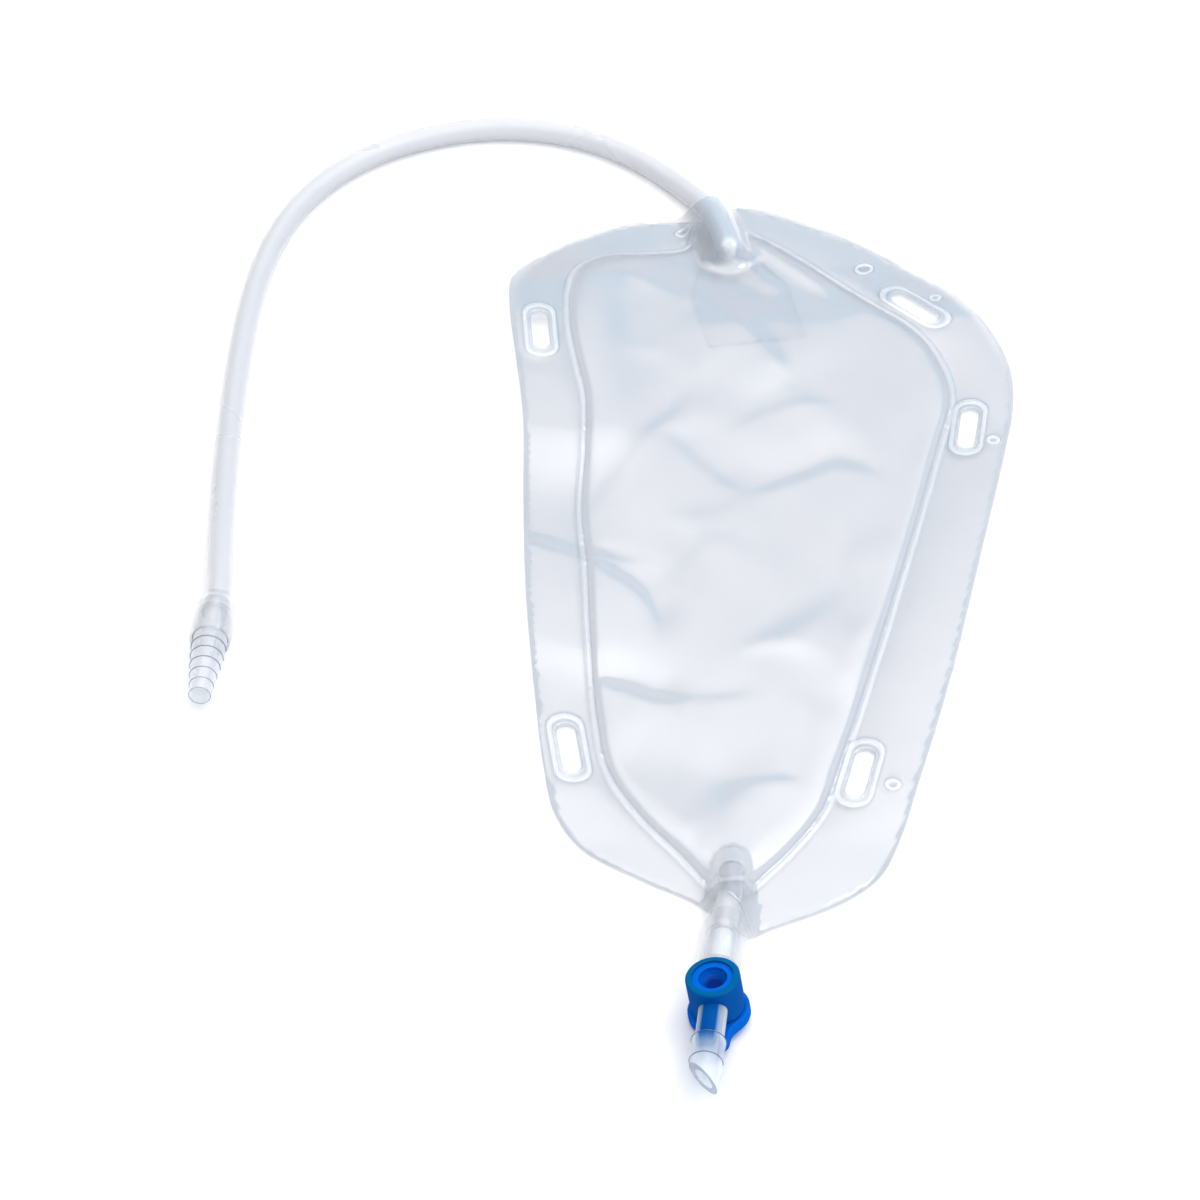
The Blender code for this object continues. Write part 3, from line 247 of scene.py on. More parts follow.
def curve_through(points, closed=False, steps=14):
    """A dense smooth curve through points (centripetal Catmull-Rom)."""
    p = [np.array(q, float) for q in points]
    if closed:
        p = [p[-1], *p, p[0], p[1]]
    else:
        p = [2 * p[0] - p[1], *p, 2 * p[-1] - p[-2]]
    dense = []
    for a, b, c, d in zip(p, p[1:], p[2:], p[3:]):
        k0 = 0.0
        k1 = k0 + math.sqrt(np.linalg.norm(b - a))
        k2 = k1 + math.sqrt(np.linalg.norm(c - b))
        k3 = k2 + math.sqrt(np.linalg.norm(d - c))
        for t in np.linspace(k1, k2, steps, endpoint=False):
            ab = blend_point(a, b, k0, k1, t)
            bc = blend_point(b, c, k1, k2, t)
            cd = blend_point(c, d, k2, k3, t)
            abc = blend_point(ab, bc, k0, k2, t)
            bcd = blend_point(bc, cd, k1, k3, t)
            dense.append(blend_point(abc, bcd, k1, k2, t))
    if not closed:
        dense.append(p[-2])
    return np.array(dense)


def measured(line):
    """The length of each leg of a polyline, and how far along it each point lies."""
    legs = np.linalg.norm(np.diff(line, axis=0), axis=1)
    return legs, np.concatenate([[0.0], np.cumsum(legs)])


def spaced(line, spacing, closed=False):
    """Points at an even spacing along a polyline, its ends included."""
    if closed:
        line = np.vstack([line, line[:1]])
    _, along = measured(line)
    count = max(2, round(along[-1] / spacing))
    at = np.linspace(0.0, along[-1], count + 1)
    if closed:
        at = at[:-1]
    return np.column_stack([np.interp(at, along, line[:, k]) for k in range(line.shape[1])])


def sideways(line, offset, closed=False):
    """A plan line moved to its left by offset."""
    if closed:
        step = np.roll(line, -1, axis=0) - np.roll(line, 1, axis=0)
    else:
        step = np.gradient(line, axis=0)
    step = step[:, :2] / np.linalg.norm(step[:, :2], axis=1)[:, None]
    return line[:, :2] + offset * np.column_stack([-step[:, 1], step[:, 0]])


def distance_along(xy, line):
    """Each point's distance to an open polyline, and its share of the way along it."""
    best = np.full(len(xy), 1e9)
    share = np.zeros(len(xy))
    legs, along = measured(line)
    for k, (a, b) in enumerate(zip(line[:-1], line[1:])):
        ab = b - a
        t = np.clip(((xy - a) @ ab) / max(ab @ ab, 1e-12), 0.0, 1.0)
        far = np.linalg.norm(xy - a - t[:, None] * ab, axis=1)
        nearer = far < best
        best[nearer] = far[nearer]
        share[nearer] = (along[k] + t[nearer] * legs[k]) / along[-1]
    return best, share


def is_inside(xy, loop):
    """Whether each point lies inside a closed plan loop."""
    inside = np.zeros(len(xy), bool)
    for a, b in zip(loop, np.roll(loop, -1, axis=0)):
        crosses = (a[1] > xy[:, 1]) != (b[1] > xy[:, 1])
        rise = b[1] - a[1] if b[1] != a[1] else 1e-12
        at = a[0] + (xy[:, 1] - a[1]) * (b[0] - a[0]) / rise
        inside ^= crosses & (xy[:, 0] < at)
    return inside


def depth_inside(xy, loop):
    """Distance to a closed plan loop, above zero inside it."""
    far, _ = distance_along(xy, np.vstack([loop, loop[:1]]))
    return np.where(is_inside(xy, loop), far, -far)


def leaning(degrees):
    """The turn of a plan shape that leans by some degrees."""
    c, s = math.cos(math.radians(degrees)), math.sin(math.radians(degrees))
    return np.array([[c, -s], [s, c]])


def slot_loop(slot, grown=0.0, spacing=1.1):
    """The round-ended outline of a strap slot, or, as grown nears 1, that of the weld round it."""
    x, y, lean = slot
    radius = SLOT_WIDTH / 2 + RING_SIDE * grown
    half = SLOT_LENGTH / 2 + RING_END * grown - radius
    loop = []
    for end, start in ((half, 0.0), (-half, math.pi)):
        for k in range(13):
            turn = start + math.pi * k / 12
            loop.append((radius * math.cos(turn), end + radius * math.sin(turn)))
    return spaced(np.array(loop), spacing, closed=True) @ leaning(lean).T + np.array([x, y])


def slot_growth(xy, slot):
    """How far each point lies from a slot's edge, as the grown of the slot_loop through it."""
    x, y, lean = slot
    across, along = np.abs((xy - (x, y)) @ leaning(lean)).T
    grown = np.zeros(len(xy))
    for _ in range(12):
        middle = (SLOT_LENGTH - SLOT_WIDTH) / 2 + (RING_END - RING_SIDE) * grown
        past = np.maximum(along - middle, 0.0)
        far = np.maximum(np.hypot(across, past), 1e-9)
        fall = (RING_END - RING_SIDE) * past / far + RING_SIDE
        grown = np.clip(grown + (far - SLOT_WIDTH / 2 - RING_SIDE * grown) / fall, -1.0, 4.0)
    return grown


def mark_loop(mark, grow=0.0):
    """The oval outline of a tool mark."""
    x, y, half_width, half_length, lean = mark
    turn = np.linspace(0.0, 2 * math.pi, 20, endpoint=False)
    size = np.array([half_width + grow, half_length + grow])
    loop = size * np.column_stack([np.cos(turn), np.sin(turn)])
    return loop @ leaning(lean).T + np.array([x, y])


def valve_matrix():
    """The valve's place and turn."""
    across = VALVE_FLOW.cross(VALVE_UP)
    turn = Matrix((across, VALVE_FLOW, VALVE_UP)).transposed().to_4x4()
    return Matrix.Translation(VALVE_AT) @ turn


def hose_line():
    """The middle of the hose, resting on the surface where nothing lifts it."""
    return curve_through([(x, y, HOSE_OD / 2 + SURFACE_CLEAR + lift) for x, y, lift in HOSE_ROUTE])


def stub_line():
    """The middle of the outlet stub, straight along the valve's flow line at its end."""
    run = [(x, y, STUB_OD / 2 + lift) for x, y, lift in STUB_RUN]
    low = SLEEVE_START + SLEEVE_GRIP + 2 * FIT
    for along in (low + 9.0, low + 4.5, low):
        run.append(tuple(valve_matrix() @ Vector((0.0, along * MM, 0.0)) / MM))
    return curve_through(run)


HOSE_LINE = hose_line()
TUNNEL_LINE = HOSE_LINE[:TUNNEL_STEPS]
STUB_LINE = stub_line()
SEAM_FINE = curve_through(SEAM, closed=True)


# Film heights


def larger(a, b, soft=1.2):
    """The larger of a and b with a soft corner, never below either."""
    gap = np.maximum(soft - np.abs(a - b), 0.0) / soft
    return np.maximum(a, b) + gap * gap * soft * 0.25


def smooth(share):
    """A share as a smooth step from 0 to 1."""
    share = np.clip(share, 0.0, 1.0)
    return share * share * (3.0 - 2.0 * share)


def over_tube(xy, line, radius, slope_deg, soft_end):
    """How high a film stretched over a round tube runs, far below zero away from it."""
    plan = line[:, :2]
    best, share = distance_along(xy, plan)
    middle = np.interp(share, np.linspace(0.0, 1.0, len(line)), line[:, 2])
    past = (xy - plan[0]) @ ((plan[0] - plan[1]) / np.linalg.norm(plan[0] - plan[1]))
    past = np.maximum(past, 0.0)
    side = np.sqrt(np.maximum(best**2 - past**2, 0.0))
    best = np.sqrt(side**2 + (past * soft_end) ** 2)
    turn = math.radians(slope_deg)
    round_top = np.sqrt(np.maximum(radius**2 - best**2, 0.0))
    straight = radius / math.cos(turn) - best * math.tan(turn)
    return middle + np.where(best < radius * math.sin(turn), round_top, straight)


def crease_heights(xy, creases):
    """The rise of creases, each with a reach of its own on either side, fading at its ends."""
    total = np.zeros(len(xy))
    for points, rise, right, left in creases:
        line = curve_through(points, steps=6)
        length = np.linalg.norm(line[-1] - line[0])
        ahead = (line[-1] - line[0]) / length
        aside = np.array([-ahead[1], ahead[0]])
        along, across = (xy - line[0]) @ ahead, (xy - line[0]) @ aside
        off = across - np.interp(along, (line - line[0]) @ ahead, (line - line[0]) @ aside)
        start, end = np.clip(np.array([along, length - along]) / (0.3 * length), 0.0, 1.0)
        total += rise * smooth(start * end) * np.exp(-((off / np.where(off > 0, left, right)) ** 2))
    return total


def mounds(xy, places):
    """The rise of broad soft mounds and hollows."""
    total = np.zeros(len(xy))
    for x, y, rise, across, along in places:
        total += rise * np.exp(-(((xy[:, 0] - x) / across) ** 2) - ((xy[:, 1] - y) / along) ** 2)
    return total


def slack(xy):
    """The small slow waves that loose film has everywhere, within a tenth of a millimetre."""
    x, y = xy[:, 0], xy[:, 1]
    return 0.07 * np.sin(x / 9.0 + 1.7 * np.sin(y / 23.0) + 0.4) * np.sin(
        y / 12.0 + 1.3 * np.sin(x / 17.0) + 2.0
    ) + 0.02 * np.sin(x / 4.3 - y / 7.9 + 2.1 * np.sin(y / 31.0))


def near_tubes(xy):
    """1 beside the hose inlet or the outlet stub, 0 well away from both."""
    hose, _ = distance_along(xy, TUNNEL_LINE[:, :2])
    stub, _ = distance_along(xy, STUB_LINE[:, :2])
    return np.exp(-((np.minimum(hose, stub) / TUBE_REACH) ** 2))


def under_stub(xy):
    """How far the back film is lifted where it is welded round the outlet stub."""
    far, share = distance_along(xy, STUB_LINE[:, :2])
    middle = np.interp(share, np.linspace(0.0, 1.0, len(STUB_LINE)), STUB_LINE[:, 2])
    room = np.maximum(middle - STUB_OD / 2 - 2 * FIT - FILM, 0.0)
    return room * np.exp(-((far / STUB_REACH) ** 2))


def back_top(xy):
    """The upper side of the back film, flat on the surface inside the weld."""
    inside = depth_inside(xy, SEAM_FINE)
    outside = np.maximum(-inside - 1.0, 0.0)
    ends = 1.0
    for at, reach, least in END_FADES:
        ends = ends * np.clip((at - xy[:, 1]) / reach, least, 1.0)
    lift = EDGE_LIFT * (1.0 - np.exp(-outside / EDGE_REACH)) * ends
    lift = lift * (0.9 + 0.1 * np.sin(xy[:, 1] / 21.0 + xy[:, 0] / 33.0 + 0.8))
    lift = lift + mounds(xy, WAVES) * np.clip(outside / WAVE_REACH, 0.0, 1.0)
    near_edge = smooth((CREASE_REACH - inside) / (CREASE_REACH + 2.0))
    lift = lift + crease_heights(xy, FLANGE_CREASES) * near_edge
    return FILM + np.maximum(lift * (1.0 - near_tubes(xy)), under_stub(xy))


def ring_heights(xy):
    """The rise of the welds round the slots and of the tool marks."""
    rise = np.zeros(len(xy))
    for slot in SLOTS:
        grown = slot_growth(xy, slot)
        for middle, reach, height in SLOT_RIDGES:
            rise = np.maximum(rise, height * np.exp(-(((grown - middle) / reach) ** 2)))
    for mark in TOOL_MARKS:
        off = depth_inside(xy, mark_loop(mark))
        rise = np.maximum(rise, MARK_RISE * np.exp(-((off / MARK_REACH) ** 2)))
    return rise


def front_under(xy, settings):
    """The lower side of the front film."""
    inside = depth_inside(xy, SEAM_FINE)
    pillow = 1.0 - np.exp(-np.maximum(inside - PILLOW_START, 0.0) / PILLOW_REACH)
    loose = crease_heights(xy, CREASES) + mounds(xy, BILLOWS) + slack(xy)
    pillow = PILLOW_HEIGHT * pillow + loose * np.clip((inside - 1.0) / LOOSE_REACH, 0.0, 1.0)
    bead = settings.bead_rise / MM * np.exp(-((inside / BEAD_REACH) ** 2))
    height = back_top(xy) + WELD_GAP + np.maximum(pillow, 0.0) + bead + ring_heights(xy)
    over_hose = over_tube(xy, TUNNEL_LINE, HOSE_OD / 2 + 2 * FIT + FLAP_THICK + HOSE_ROOM,
                          HOSE_SLOPE, 1.0)
    over_stub = over_tube(xy, STUB_LINE, STUB_OD / 2 + FIT + STUB_ROOM, STUB_SLOPE, 0.5)
    return larger(larger(height, over_hose, HOSE_CORNER), over_stub, STUB_CORNER)


def film_marks(xy):
    """What the finish reads: distances to the welds and marks, and where the hose is gripped."""
    far, _ = distance_along(xy, TUNNEL_LINE[:, :2])
    slots = np.min([slot_growth(xy, slot) for slot in SLOTS], axis=0)
    marks = np.max([depth_inside(xy, mark_loop(mark)) for mark in TOOL_MARKS], axis=0)
    return {
        "from_seam": np.clip(depth_inside(xy, SEAM_FINE), -4.0, 4.0),
        "slot_growth": np.clip(slots, -1.0, 3.0),
        "in_mark": np.clip(marks, -4.0, 4.0),
        "over_hose": np.exp(-((far / GRIP_REACH) ** 2)),
    }


# Plan mesh


def thinned(points, taken, clear):
    """The points that lie at least clear from all taken points, and from each other."""
    cells = {}
    kept = []
    for p, is_new in [*((q, False) for q in taken), *((q, True) for q in points)]:
        column, row = int(p[0] // clear), int(p[1] // clear)
        near = (
            q
            for i in (column - 1, column, column + 1)
            for j in (row - 1, row, row + 1)
            for q in cells.get((i, j), ())
        )
        if is_new and any((p[0] - q[0]) ** 2 + (p[1] - q[1]) ** 2 < clear * clear for q in near):
            continue
        cells.setdefault((column, row), []).append(p)
        if is_new:
            kept.append(p)
    return kept


def grid_points(low, high, spacing):
    """A triangular grid of plan points over a box."""
    points = []
    row_height = spacing * math.sqrt(3) / 2
    for row in range(int((high[1] - low[1]) / row_height) + 1):
        shift = spacing / 2 if row % 2 else 0.0
        for column in range(int((high[0] - low[0]) / spacing) + 1):
            points.append((low[0] + shift + column * spacing, low[1] + row * row_height))
    return np.array(points)


def plan_mesh(outer, holes, extra):
    """Triangles over a plan outline with holes, through the extra points."""
    corners, edges = [], []
    for loop in (outer, *holes):
        first = len(corners)
        corners.extend(tuple(p) for p in loop)
        edges.extend((first + k, first + (k + 1) % len(loop)) for k in range(len(loop)))
    corners.extend(tuple(p) for p in extra)
    found = delaunay_2d_cdt([Vector(p) for p in corners], edges, [], 0, 1e-5)
    plan = np.array([tuple(p) for p in found[0]])
    faces = np.array([tuple(f) for f in found[2]])
    centres = plan[faces].mean(axis=1)
    keep = is_inside(centres, outer)
    for hole in holes:
        keep &= ~is_inside(centres, hole)
    return plan, faces[keep]


def tube_rows(line, spacing):
    """Points along a tube and a little beyond its first end, and beside it on each side."""
    ahead = line[0] - line[1]
    beyond = line[0] + ahead / np.linalg.norm(ahead) * 10.0
    middle = spaced(np.vstack([beyond, line]), spacing)
    return [p for side in TUBE_SIDES for sign in (1, -1) for p in sideways(middle, side * sign)]


def bag_plan(spacing):
    """The plan triangles of a film, finest at the weld, the slots and the creases."""
    outer = spaced(curve_through(EDGE, closed=True), EDGE_STEP, closed=True)
    holes = [slot_loop(slot) for slot in SLOTS]
    rows = []
    for slot in SLOTS:
        for grown in SLOT_ROWS:
            rows.extend(slot_loop(slot, grown, 0.9))
    for mark in TOOL_MARKS:
        for grow in MARK_ROWS:
            rows.extend(mark_loop(mark, grow))
    seam = spaced(SEAM_FINE, SEAM_STEP, closed=True)
    for offset in SEAM_ROWS:
        rows.extend(sideways(seam, offset, closed=True))
    rows.extend(tube_rows(TUNNEL_LINE, EDGE_STEP))
    rows.extend(tube_rows(STUB_LINE, EDGE_STEP))
    for points, _, right, left in (*CREASES, *FLANGE_CREASES):
        line = spaced(curve_through(points, steps=6), SEAM_STEP)
        for off in (0.0, -right / 2, left / 2, -right, left):
            if abs(off) < 4.0:
                rows.extend(sideways(line, off))
    fixed = [*outer, *(p for hole in holes for p in hole)]
    kept = thinned(rows, fixed, LEAST_GAP)
    kept += thinned(grid_points(outer.min(axis=0), outer.max(axis=0), spacing),
                    [*fixed, *kept], spacing * 0.6)
    kept = np.array(kept)
    kept = kept[depth_inside(kept, outer) > EDGE_GAP]
    for hole in holes:
        kept = kept[depth_inside(kept, hole) < -SLOT_GAP]
    return plan_mesh(outer, holes, kept)


# Materials

WHITE = (1.0, 1.0, 1.0, 1.0)


def add_node(tree, kind, inputs=None, **settings):
    """Adds a node with its settings; an input takes a value, or another node's socket."""
    made = tree.nodes.new(kind)
    for name, value in settings.items():
        setattr(made, name, value)
    for name, value in (inputs or {}).items():
        if isinstance(value, bpy.types.NodeSocket):
            tree.links.new(value, made.inputs[name])
        else:
            made.inputs[name].default_value = value
    return made


def new_material(name):
    """An empty node material: itself, its tree, and coordinates in the object's own space."""
    made = bpy.data.materials.new(name)
    made.use_nodes = True
    made.node_tree.nodes.clear()
    return made, made.node_tree, add_node(made.node_tree, "ShaderNodeTexCoord").outputs["Object"]


def send_out(tree, shader, kind="Material"):
    """Sends a shader to the tree's output."""
    tree.links.new(shader, add_node(tree, "ShaderNodeOutput" + kind).inputs["Surface"])


def maths(tree, operation, *values):
    """One shader maths step."""
    return add_node(tree, "ShaderNodeMath", dict(enumerate(values)), operation=operation).outputs[0]


def vector_maths(tree, operation, *values, result="Vector"):
    """One shader step on vectors or colours."""
    return add_node(tree, "ShaderNodeVectorMath", dict(enumerate(values)),
                    operation=operation).outputs[result]


def between(tree, share, first, second):
    """The colour between two at a share."""
    return add_node(tree, "ShaderNodeMix", {0: share, 6: first, 7: second},
                    data_type="RGBA").outputs[2]


def spread(tree, value, low, high, start=0.0, end=1.0, kind="LINEAR"):
    """start where a value is low or less, end where it is high or more."""
    return add_node(tree, "ShaderNodeMapRange",
                    {"Value": value, "From Min": low, "From Max": high, "To Min": start,
                     "To Max": end}, interpolation_type=kind).outputs[0]


def stepped(tree, value, low, high, start=0.0, end=1.0):
    """A smooth step between two millimetre marks."""
    return spread(tree, value, low * MM, high * MM, start, end, "SMOOTHSTEP")


def noise(tree, place, scale, detail, distortion=0.0):
    """Noise with scale waves in a metre."""
    return add_node(tree, "ShaderNodeTexNoise",
                    {"Vector": place, "Scale": scale, "Detail": detail,
                     "Distortion": distortion}).outputs[0]


def bump(tree, height, strength, depth_mm):
    """The surface's direction with a fine relief."""
    return add_node(tree, "ShaderNodeBump", {"Strength": strength, "Distance": depth_mm * MM,
                                             "Height": height}).outputs[0]


def ramp(tree, place, stops):
    """The colour at a place between (position, colour) stops."""
    made = add_node(tree, "ShaderNodeValToRGB", {"Fac": place})
    colours = made.color_ramp.elements
    while len(colours) < len(stops):
        colours.new(1.0)
    for element, (at, colour) in zip(colours, stops):
        element.position = at
        element.color = (*colour, 1.0)
    return made.outputs[0]


def attribute(tree, name):
    """A number that each point of the mesh carries."""
    return add_node(tree, "ShaderNodeAttribute", attribute_name=name).outputs["Fac"]


def plastic(tree, colour, roughness, ior, normal, specular=0.5):
    """The body of a plastic, under its gloss."""
    return add_node(tree, "ShaderNodeBsdfPrincipled",
                    {"Base Color": colour, "Roughness": roughness, "IOR": ior,
                     "Specular IOR Level": specular, "Normal": normal}).outputs[0]


def see_through(tree, colour, share, body):
    """A body over clear material of a colour: share is the body's."""
    clear = add_node(tree, "ShaderNodeBsdfTransparent", {"Color": colour}).outputs[0]
    return add_node(tree, "ShaderNodeMixShader", {"Fac": share, 1: clear, 2: body}).outputs[0]


def glossed(tree, under, share, roughness, normal):
    """A shader with a mirroring surface over it: share is the mirror's."""
    gloss = add_node(tree, "ShaderNodeBsdfGlossy",
                     {"Color": WHITE, "Roughness": roughness, "Normal": normal}).outputs[0]
    return add_node(tree, "ShaderNodeMixShader", {"Fac": share, 1: under, 2: gloss}).outputs[0]


def edge_share(tree, normal_share, rise=1.0):
    """How much a clear wall mirrors: normal_share face on, more by rise at a grazing look."""
    facing = add_node(tree, "ShaderNodeLayerWeight", {"Blend": 0.5}).outputs["Facing"]
    return maths(tree, "MULTIPLY_ADD", maths(tree, "POWER", facing, 5.0),
                 (1.0 - normal_share) * rise, normal_share)


# Weld bands by the distance that the mesh carries: distance, white weld (milky weld with a painted
# highlight), painted groove shade.
WELD_BANDS = (
    ("from_seam", -3.0, 3.0, (
        (-1.6, 0.0, 0.0), (-1.05, 0.0, 0.6), (-0.7, 0.6, 0.1), (0.7, 0.6, 0.1), (1.05, 0.0, 0.6),
        (1.6, 0.0, 0.0))),
    ("slot_growth", 0.0, 2.0, (
        (0.0, 0.3, 0.3), (0.25, 0.3, 0.0), (0.4, 0.0, 0.8), (0.53, 0.8, 0.0), (0.93, 0.9, 0.0),
        (1.06, 0.0, 0.9), (1.3, 0.0, 0.0))),
    ("in_mark", -3.0, 3.0, (
        (-1.2, 0.0, 0.0), (-0.7, 0.0, 0.8), (-0.3, 0.9, 0.0), (0.4, 0.9, 0.0), (0.8, 0.0, 0.4),
        (1.4, 0.0, 0.0))),
)


def weld_highlight_and_groove_shade(tree):
    """How far a point of the film is white weld with a painted highlight, and how far it takes the
    painted shade of the groove beside one.
    """
    both = None
    for label, low, high, bands in WELD_BANDS:
        stops = [((at - low) / (high - low), (weld_and_highlight, groove_shade, 0.0)) for at, weld_and_highlight, groove_shade in bands]
        band = ramp(tree, spread(tree, attribute(tree, label), low, high), stops)
        both = vector_maths(tree, "MAXIMUM", both, band) if both else band
    return add_node(tree, "ShaderNodeSeparateXYZ", {"Vector": both}).outputs[:2]


def clear_wall(name, colour, haze, tint, roughness, mirror, grain_mm, grain_depth, blotch_mm,
               uneven=0.12, edge_rise=1.0, welded=False):
    """A thin clear plastic wall: seen through, a little milky, and glossy.

    haze is the share of light that a surface scatters, mirror what it reflects face on. On a
    welded film the welds are whiter, partly by their milkiness and partly by a painted highlight,
    painted shade darkens the grooves beside them, and it is milkier where it grips the hose.
    """
    made, tree, place = new_material(name)
    normal = bump(tree, noise(tree, place, 1.0 / (grain_mm * MM), 2.0), 0.35, grain_depth)
    blotch = noise(tree, place, 1.0 / (blotch_mm * MM), 3.0)
    matt = spread(tree, blotch, 0.3, 0.7, roughness * 0.8, roughness * 1.25)
    share = spread(tree, blotch, 0.3, 0.7, haze * (1.0 - uneven), haze * (1.0 + uneven))
    through_colour, body_colour = (*tint, 1.0), (*colour, 1.0)
    if welded:
        weld_and_highlight, groove_shade = weld_highlight_and_groove_shade(tree)
        stretched = attribute(tree, "over_hose")
        # The welds are milkier and whiter, partly a painted highlight on the bead.
        share = maths(tree, "MULTIPLY_ADD", weld_and_highlight, 0.30, share)
        share = maths(tree, "MAXIMUM", share, maths(tree, "MULTIPLY", stretched, 0.55))
        # Painted shade: the see-through colour is darker in the grooves beside the welds.
        through_colour = between(tree, groove_shade, through_colour, (0.84, 0.86, 0.89, 1.0))
        body_colour = between(tree, weld_and_highlight, body_colour, WHITE)
        body_colour = between(tree, stretched, body_colour, (*linear("#DEE5ED"), 1.0))
    body = plastic(tree, body_colour, matt, 1.53, normal)
    milky = see_through(tree, through_colour, share, body)
    send_out(tree, glossed(tree, milky, edge_share(tree, mirror, edge_rise), matt, normal))
    return made


def film_finish(settings):
    """Plasticised PVC film, calendered: clear with a faint blue-grey haze and soft gloss."""
    return clear_wall("calendered_pvc_film", settings.film_colour, settings.film_haze,
                      settings.film_tint, roughness=0.06, mirror=settings.film_gloss, grain_mm=1.4,
                      grain_depth=0.003, blotch_mm=22.0, edge_rise=0.4, welded=True)


def back_film_finish(settings):
    """The same PVC film, duller where it lies wetted out against the front film."""
    return clear_wall("calendered_pvc_back_film", settings.film_colour, settings.film_haze,
                      settings.film_tint, roughness=0.1, mirror=settings.film_gloss * 0.3,
                      grain_mm=1.4, grain_depth=0.003, blotch_mm=22.0, edge_rise=0.4)


def cut_edge_finish():
    """The film's die-cut edge: the same PVC seen edge on, so denser and darker."""
    return clear_wall("die_cut_pvc_edge", linear("#DDE2E8"), 0.15, (0.975, 0.98, 0.988),
                      roughness=0.4, mirror=0.02, grain_mm=0.6, grain_depth=0.02, blotch_mm=9.0,
                      edge_rise=0.1)


def flap_finish(settings):
    """Blown PVC film of the flaps, very thin and clear."""
    return clear_wall("blown_pvc_flap", settings.film_colour, settings.film_haze * 0.1,
                      (0.997, 0.997, 0.999), roughness=0.2, mirror=0.002, grain_mm=1.2,
                      grain_depth=0.02, blotch_mm=12.0, edge_rise=0.2)


def hose_finish(settings):
    """Extruded soft PVC hose: milky and see-through only a little, with a satin gloss."""
    return clear_wall("extruded_milky_pvc", settings.hose_colour, settings.hose_haze,
                      (0.995, 0.995, 0.996), roughness=0.3, mirror=0.02, grain_mm=1.1,
                      grain_depth=0.012, blotch_mm=30.0, uneven=0.04, edge_rise=0.5)


def sleeve_finish(settings):
    """Dip-moulded soft PVC sleeve: clearer than the hose, slightly milky."""
    return clear_wall("dip_moulded_pvc_sleeve", settings.sleeve_colour, settings.sleeve_haze,
                      (0.996, 0.995, 0.996), roughness=0.14, mirror=0.05, grain_mm=1.6,
                      grain_depth=0.02, blotch_mm=9.0, uneven=0.06, edge_rise=0.6)


def connector_finish():
    """Injection-moulded clear ABS: hard, bright and a little milky."""
    return clear_wall("moulded_clear_connector", linear("#EDEDF0"), 0.28, (0.99, 0.993, 0.997),
                      roughness=0.06, mirror=0.03, grain_mm=2.0, grain_depth=0.01, blotch_mm=6.0,
                      uneven=0.06, edge_rise=0.3)


def rim_shade_line_finish():
    """The same clear moulding at a thin rim, with painted slate-grey shade for the dark line that
    the rim shows.
    """
    return clear_wall("clear_rim_painted_shade_line", linear("#5E7088"), 0.6, (0.85, 0.89, 0.94),
                      roughness=0.12, mirror=0.04, grain_mm=1.0, grain_depth=0.01, blotch_mm=4.0,
                      edge_rise=0.3)


def in_valve(tree, place):
    """A place in the valve's own frame, its X, Y and Z, and its distance from the barrel's axis."""
    turn = valve_matrix()
    local = add_node(tree, "ShaderNodeMapping",
                     {"Vector": place, "Location": turn.translation, "Rotation": turn.to_euler()},
                     vector_type="TEXTURE").outputs[0]
    parts = add_node(tree, "ShaderNodeSeparateXYZ", {"Vector": local}).outputs
    flat = add_node(tree, "ShaderNodeCombineXYZ", {"X": parts["X"], "Y": parts["Y"]}).outputs[0]
    return local, parts, vector_maths(tree, "LENGTH", flat, result="Value")


